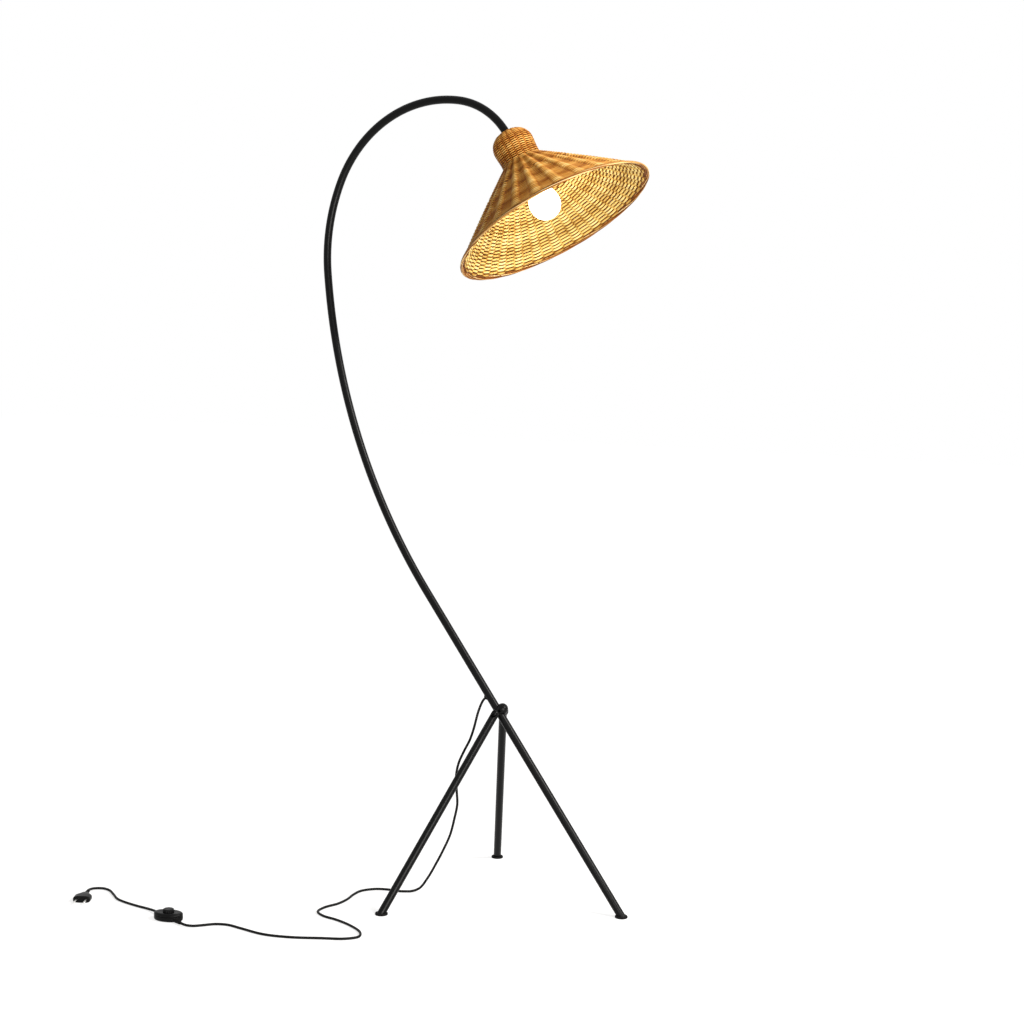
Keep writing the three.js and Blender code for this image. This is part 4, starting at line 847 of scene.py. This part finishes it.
def bulb():
    globe = np.vstack([globe_line(0), globe_line(GLOBE_WALL)[::-1]])
    on_bulb = dict(closed=True, body="bulb", place=HEAD_PLACE)
    turned("bulb_globe_round", globe, glow, segments=72, replaces=["bulb_globe"], **on_bulb)
    outer = np.array([(12.2, -64.2), (12.7, -67), (15.2, -72), (19.0, -77.5), (SEAM_RADIUS, SEAM)])
    collar = eased(np.vstack([outer, (outer - [GLOBE_WALL, 0])[::-1]]), 1.2, steps=3)
    turned("bulb_collar_round", collar, white_plastic, replaces=["bulb_collar"], **on_bulb)
    thread_cap()


def thread_cap():
    """The screw cap: its radius is a cosine of height over pitch less the angle, so the ridge
    climbs one pitch a turn. It fades at both ends."""
    height = np.linspace(-43.0, -63.9, 64)
    angle = angles(72)
    fade = np.clip(np.minimum(-45.5 - height, height + 63.9) / 2.2, 0, 1)
    ridge = np.cos(2 * np.pi * height[:, None] / 3.6 - angle) * fade[:, None]
    radius = np.interp(height, [-63.9, -46, -44.2, -43.2, -43.0], [12.6, 12.6, 11.8, 10.9, 10.0])
    outer = radius[:, None] + 0.55 * ridge
    inner = outer[::-1] - 0.6
    heights = np.concatenate([height, height[::-1]])
    profile = np.stack([np.ones(len(heights)), heights], 1)
    points = turned_points(profile, 72, np.vstack([outer, inner]))
    surface("bulb_screw_thread", points, nickel_plate, body="bulb", place=HEAD_PLACE,
            wrap_rows=True, replaces=["bulb_screw_cap"])


# Foot switch

def oval_points(profile, count=96):
    """Rows of inset and height round the switch's oval: both half axes shrink by the inset."""
    angle = angles(count)
    profile = np.asarray(profile, float)
    inset, height = profile[:, :1], profile[:, 1:]
    x = (SWITCH_HALF_LENGTH - inset) * np.cos(angle)
    y = (SWITCH_HALF_WIDTH - inset) * np.sin(angle)
    turn = np.radians(SWITCH_LONG_TURN)
    c, s = np.cos(turn), np.sin(turn)
    return np.stack([x * c - y * s, x * s + y * c, np.broadcast_to(height, x.shape)], -1)


def to_circle(points, radius, height):
    """The same directions as the oval's last row, at one radius."""
    way = unit(points[-1, :, :2])
    return np.concatenate([way * radius, np.full((len(way), 1), height)], 1)[None]


def foot_switch():
    base = eased([(0, 9.3), (0, 3.6), (0.5, 1.8), (1.9, 0.5), (4, 0), (8, 0), (17.5, 0), (17.5, 2),
                  (2.4, 2.6), (2, 9.3)], 0.5)
    surface("switch_base_round", oval_points(base), moulded_black, wrap_rows=True,
            place=SWITCH, replaces=["switch_base"])
    bend = np.pi / 2 * np.linspace(0, 1, 10)
    bevel = np.stack([4 - 4 * np.cos(bend), 12 + 4 * np.sin(bend)], 1)
    outer = oval_points(np.vstack([[(0.4, 9.7), (0.1, 10.0)], bevel, [(5, 16.05)]]))
    edge = ((11.6, 16.05), (11.0, 15.8), (10.6, 15.2), (10.6, 14.0))
    hole = [to_circle(outer, radius, height) for radius, height in edge]
    under = oval_points([(6, 14.0), (2.4, 13.0), (2, 11.8), (2, 9.7)])
    cover = np.concatenate([outer, *hole, under])
    surface("switch_cover_round", cover, moulded_black, wrap_rows=True,
            place=SWITCH, replaces=["switch_cover"])
    button()
    return_spring()
    for turn, node in ((0, "lamp_side_relief"), (180, "plug_side_relief")):
        relief(node, lying_at(*SWITCH_PLACE, SWITCH_TURN + turn))


def button():
    """A push button with ribs: the side's radius is raised by the fourth power of a cosine."""
    side = [(0, 21.9), (4, 21.95), (7.6, 22.1), (9.3, 21.9), (9.8, 21.2), (9.8, 14.7), (11.8, 14.7),
            (11.8, 13.2), (7.3, 13.2), (7.3, 19.8), (0, 19.8)]
    profile = eased(side, 0.6, closed=False)
    angle = angles(160)
    ribs = 1 + 0.05 * np.cos(10 * angle) ** 4
    radius, height = profile.T
    on_side = (radius > 9) & (radius < 10.4) & (height > 14.7) & (height < 21.6)
    shape = np.where(on_side[:, None], ribs, 1.0)
    surface("button_ribbed", turned_points(profile, 160, shape), moulded_black,
            body="button", place=SWITCH, replaces=["switch_button"])


def return_spring():
    """The wire follows a helix round Z whose first and last turns lie close. The real spring is
    squashed as the button goes down; here it only gets a mesh of its own."""
    turn = np.linspace(0, 7, 141)
    height = np.interp(turn, [0, 1, 6, 7], [6.85, 7.85, 18.05, 19.05])
    angle = 2 * np.pi * turn
    side = np.stack([np.cos(angle), np.sin(angle), 0 * angle], 1)
    centre = 4.05 * side + height[:, None] * np.array([0, 0, 1.0])
    lift = np.cross(side, unit(np.gradient(centre, axis=0)))
    points = capped(tube_points(centre, side, lift, 0.45, 10))
    spring = surface("return_spring", points, zinc_plate, place=SWITCH,
                     replaces=["button_spring"])
    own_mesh(spring)


def grooves(share, first, last, count):
    """Depth from 0 to 1: the root of a sine's upper halves, between two shares of the length."""
    wave = np.clip(np.sin(2 * np.pi * count * share), 0, 1) ** 0.5
    return np.where((share > first) & (share < last), wave, 0)


def relief(node, place):
    """A tapered sleeve along X with grooves. Its foot starts on the oval's slanting side, at
    x = 24.3 + 0.464 y, and the rows close up to its mouth."""
    share = np.linspace(0, 1, 70)
    radius = 4.0 - 0.8 * share - 0.55 * grooves(share, 0.2, 0.9, 7)
    radius[-3:] -= [0.05, 0.15, 0.35]
    angle = angles(40)
    y = radius[:, None] * np.cos(angle)
    z = radius[:, None] * np.sin(angle) + LEAD_HEIGHT
    foot = 24.3 + 0.464 * y
    x = foot + (RELIEF_MOUTH - foot) * share[:, None]
    outer = np.stack([x, y, z], -1)
    bore = outer[::-1].copy()
    bore[..., 1], bore[..., 2] = 2.8 * np.cos(angle), 2.8 * np.sin(angle) + LEAD_HEIGHT
    surface(f"{node}_ribbed", np.concatenate([outer, bore]), black_rubber,
            wrap_rows=True, place=place, replaces=[node])


# Plug

def plug():
    """Sections along X: a superellipse of power 3.2 whose half width grows from the tail to the
    front as a smooth step, and whose ends are rounded."""
    run = np.concatenate([np.linspace(0, 2, 8), np.linspace(3, 33.4, 26), np.linspace(34, 36, 8)])
    step = np.clip(run / 20, 0, 1)
    step = step * step * (3 - 2 * step)
    ends = np.sqrt(np.clip(1 - np.clip(np.maximum(2 - run, run - 34) / 2, 0, 1) ** 2, 0, 1))
    half_width = 7.5 + 9.5 * step - 2 * (1 - ends)
    half_height = 5.6 + 1.2 * step - 2 * (1 - ends)
    angle = angles(72)
    power = 2 / 3.2
    c = np.sign(np.cos(angle)) * np.abs(np.cos(angle)) ** power
    s = np.sign(np.sin(angle)) * np.abs(np.sin(angle)) ** power
    points = np.stack([np.broadcast_to(run[:, None], (len(run), 72)), half_width[:, None] * c,
                       PLUG_MIDDLE + half_height[:, None] * s], -1)
    surface("plug_shell", capped(points), moulded_black, place=PLUG, replaces=["plug_body"])
    on_axis = along_x(PLUG) @ placing(np.eye(3), (-PLUG_MIDDLE, 0, 0))
    pin = eased([(0, 31), (2, 31), (2, 55), (0, 55)], 1.2, closed=False)
    for index, y in ((1, -PLUG_PIN_SPREAD), (2, PLUG_PIN_SPREAD)):
        turned(f"plug_pin_round_{index}", pin, nickel_plate, slot="zinc_steel", segments=32,
               place=on_axis @ placing(np.eye(3), (0, y, 0)), replaces=[f"plug_pin_{index}"])
    share = np.linspace(0, 1, 60)
    radius = 3.2 + 1.3 * share - 0.5 * grooves(share, 0.1, 0.85, 8)
    side = np.stack([radius, -PLUG_RELIEF + (PLUG_RELIEF - GAP) * share], 1)
    profile = np.vstack([side, [(2.8, -GAP), (2.8, -PLUG_RELIEF)]])
    turned("plug_relief_ribbed", profile, black_rubber, closed=True, segments=40,
           place=on_axis, replaces=["plug_relief"])


arched_tube()
leg("left_leg_tube", foot_point(2), -1, 5.9, BOLT_HEAD_SEAT, True, "left_leg")
leg("back_leg_tube", foot_point(1), 1, 6.6, BOSS_OUTER, False, "back_leg")
hub_ball()
hub_pieces()
for index, node in enumerate(("front_foot", "back_foot", "left_foot")):
    foot_pad(index, node)
grommet()
shade()
holder()
bulb()
foot_switch()
plug()

for piece, node in ((lamp_cord, "lamp_cord"), (plug_cord, "plug_cord")):
    piece.data.materials.append(cord_sheath)
    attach(piece, "lamp")
    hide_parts(node)

carried_over = {
    powder_coat: ["hub_nut"],
    zinc_plate: ["threaded_nipple", "jam_nut", "cap_nut", "shade_carrier", "switch_screw_1",
                 "switch_screw_2", "bulb_tip_contact"],
    brass_plate: ["screw_shell", "centre_contact", "live_terminal", "neutral_terminal"],
    cord_sheath: ["inner_cable", "lamp_side_lead", "plug_side_lead", "neutral_core"],
    core_brown: ["live_core"],
    white_ceramic: ["contact_carrier", "switch_contact_block"],
    white_plastic: ["bulb_led_board"],
    black_glass: ["bulb_insulator"],
}
for material, names in carried_over.items():
    for name in names:
        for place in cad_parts[name].material_slots:
            place.material = material


# Floor, backdrop and light

AMBIENT = 0.36
FLOOR_WHITE = 0.5
FAR_GLOW = 1.01 - FLOOR_WHITE * AMBIENT
NEAR_GLOW = FAR_GLOW - 0.12


def seen_directly(tree):
    """1 for rays that the camera, a mirror or clear glass sends out, 0 for light."""
    path = add_node(tree, "ShaderNodeLightPath").outputs
    seen = path["Is Camera Ray"]
    for kind in ("Is Glossy Ray", "Is Transmission Ray"):
        larger = add_node(tree, "ShaderNodeMath", {0: seen, 1: path[kind]}, operation="MAXIMUM")
        seen = larger.outputs[0]
    return seen


def studio():
    """Even light all round, where the camera sees white."""
    world = bpy.data.worlds.new("studio")
    world.use_nodes = True
    bpy.context.scene.world = world
    tree = world.node_tree
    plain = tree.nodes["Background"]
    plain.inputs["Color"].default_value = (1.0, 0.985, 0.97, 1)
    plain.inputs["Strength"].default_value = AMBIENT
    white = add_node(tree, "ShaderNodeBackground", Color=(1, 1, 1, 1))
    mix = add_node(tree, "ShaderNodeMixShader",
                   {0: seen_directly(tree), 1: plain.outputs[0], 2: white.outputs[0]})
    tree.links.new(mix.outputs[0], tree.nodes["World Output"].inputs["Surface"])


def floor():
    """A matt floor that keeps the shadow. Where it is seen directly, a glow brings it to white."""
    half, low = 14.0, -0.0002
    corners = [(-half, -half, low), (half, -half, low), (half, half, low), (-half, half, low)]
    mesh = bpy.data.meshes.new("floor")
    mesh.from_pydata(corners, [], [(0, 1, 2, 3)])
    nodes = Nodes("pale_floor")
    tree = nodes.tree
    tree.nodes.remove(nodes.shader)
    place = add_node(tree, "ShaderNodeTexCoord").outputs["Object"]
    reach = add_node(tree, "ShaderNodeVectorMath", {0: place}, operation="LENGTH").outputs["Value"]
    climb = add_node(tree, "ShaderNodeMapRange", {"Value": reach}, interpolation_type="SMOOTHSTEP",
                     From_Min=0.8, From_Max=3.2, To_Min=NEAR_GLOW, To_Max=FAR_GLOW)
    strength = add_node(tree, "ShaderNodeMath", {0: seen_directly(tree), 1: climb.outputs["Result"]},
                        operation="MULTIPLY").outputs[0]
    matt = add_node(tree, "ShaderNodeBsdfDiffuse", Color=(*[FLOOR_WHITE] * 3, 1))
    shine = add_node(tree, "ShaderNodeEmission", {"Strength": strength})
    both = add_node(tree, "ShaderNodeAddShader", {0: matt.outputs[0], 1: shine.outputs[0]})
    tree.links.new(both.outputs[0], tree.nodes["Material Output"].inputs["Surface"])
    mesh.materials.append(nodes.material)
    in_scene("floor", mesh)


def soft_box(name, spot, aim, size, power):
    data = bpy.data.lights.new(name, "AREA")
    data.size = size
    data.energy = power
    data.color = (1.0, 0.98, 0.95)
    spot, aim = np.array(spot), np.array(aim)
    back = unit(spot - aim)
    side = unit(np.cross((0, 0, 1.0), back))
    place = placing([side, np.cross(back, side), back], spot)
    in_scene(name, data).matrix_world = Matrix(place.tolist())


studio()
floor()
LIT_POINT = (0.1, 0, 1.2)
soft_box("key", (3.2, 0.0, 3.0), LIT_POINT, 1.3, 160)
soft_box("fill", (2.4, -2.3, 0.5), LIT_POINT, 1.5, 115)

bpy.context.scene.view_settings.view_transform = "Standard"
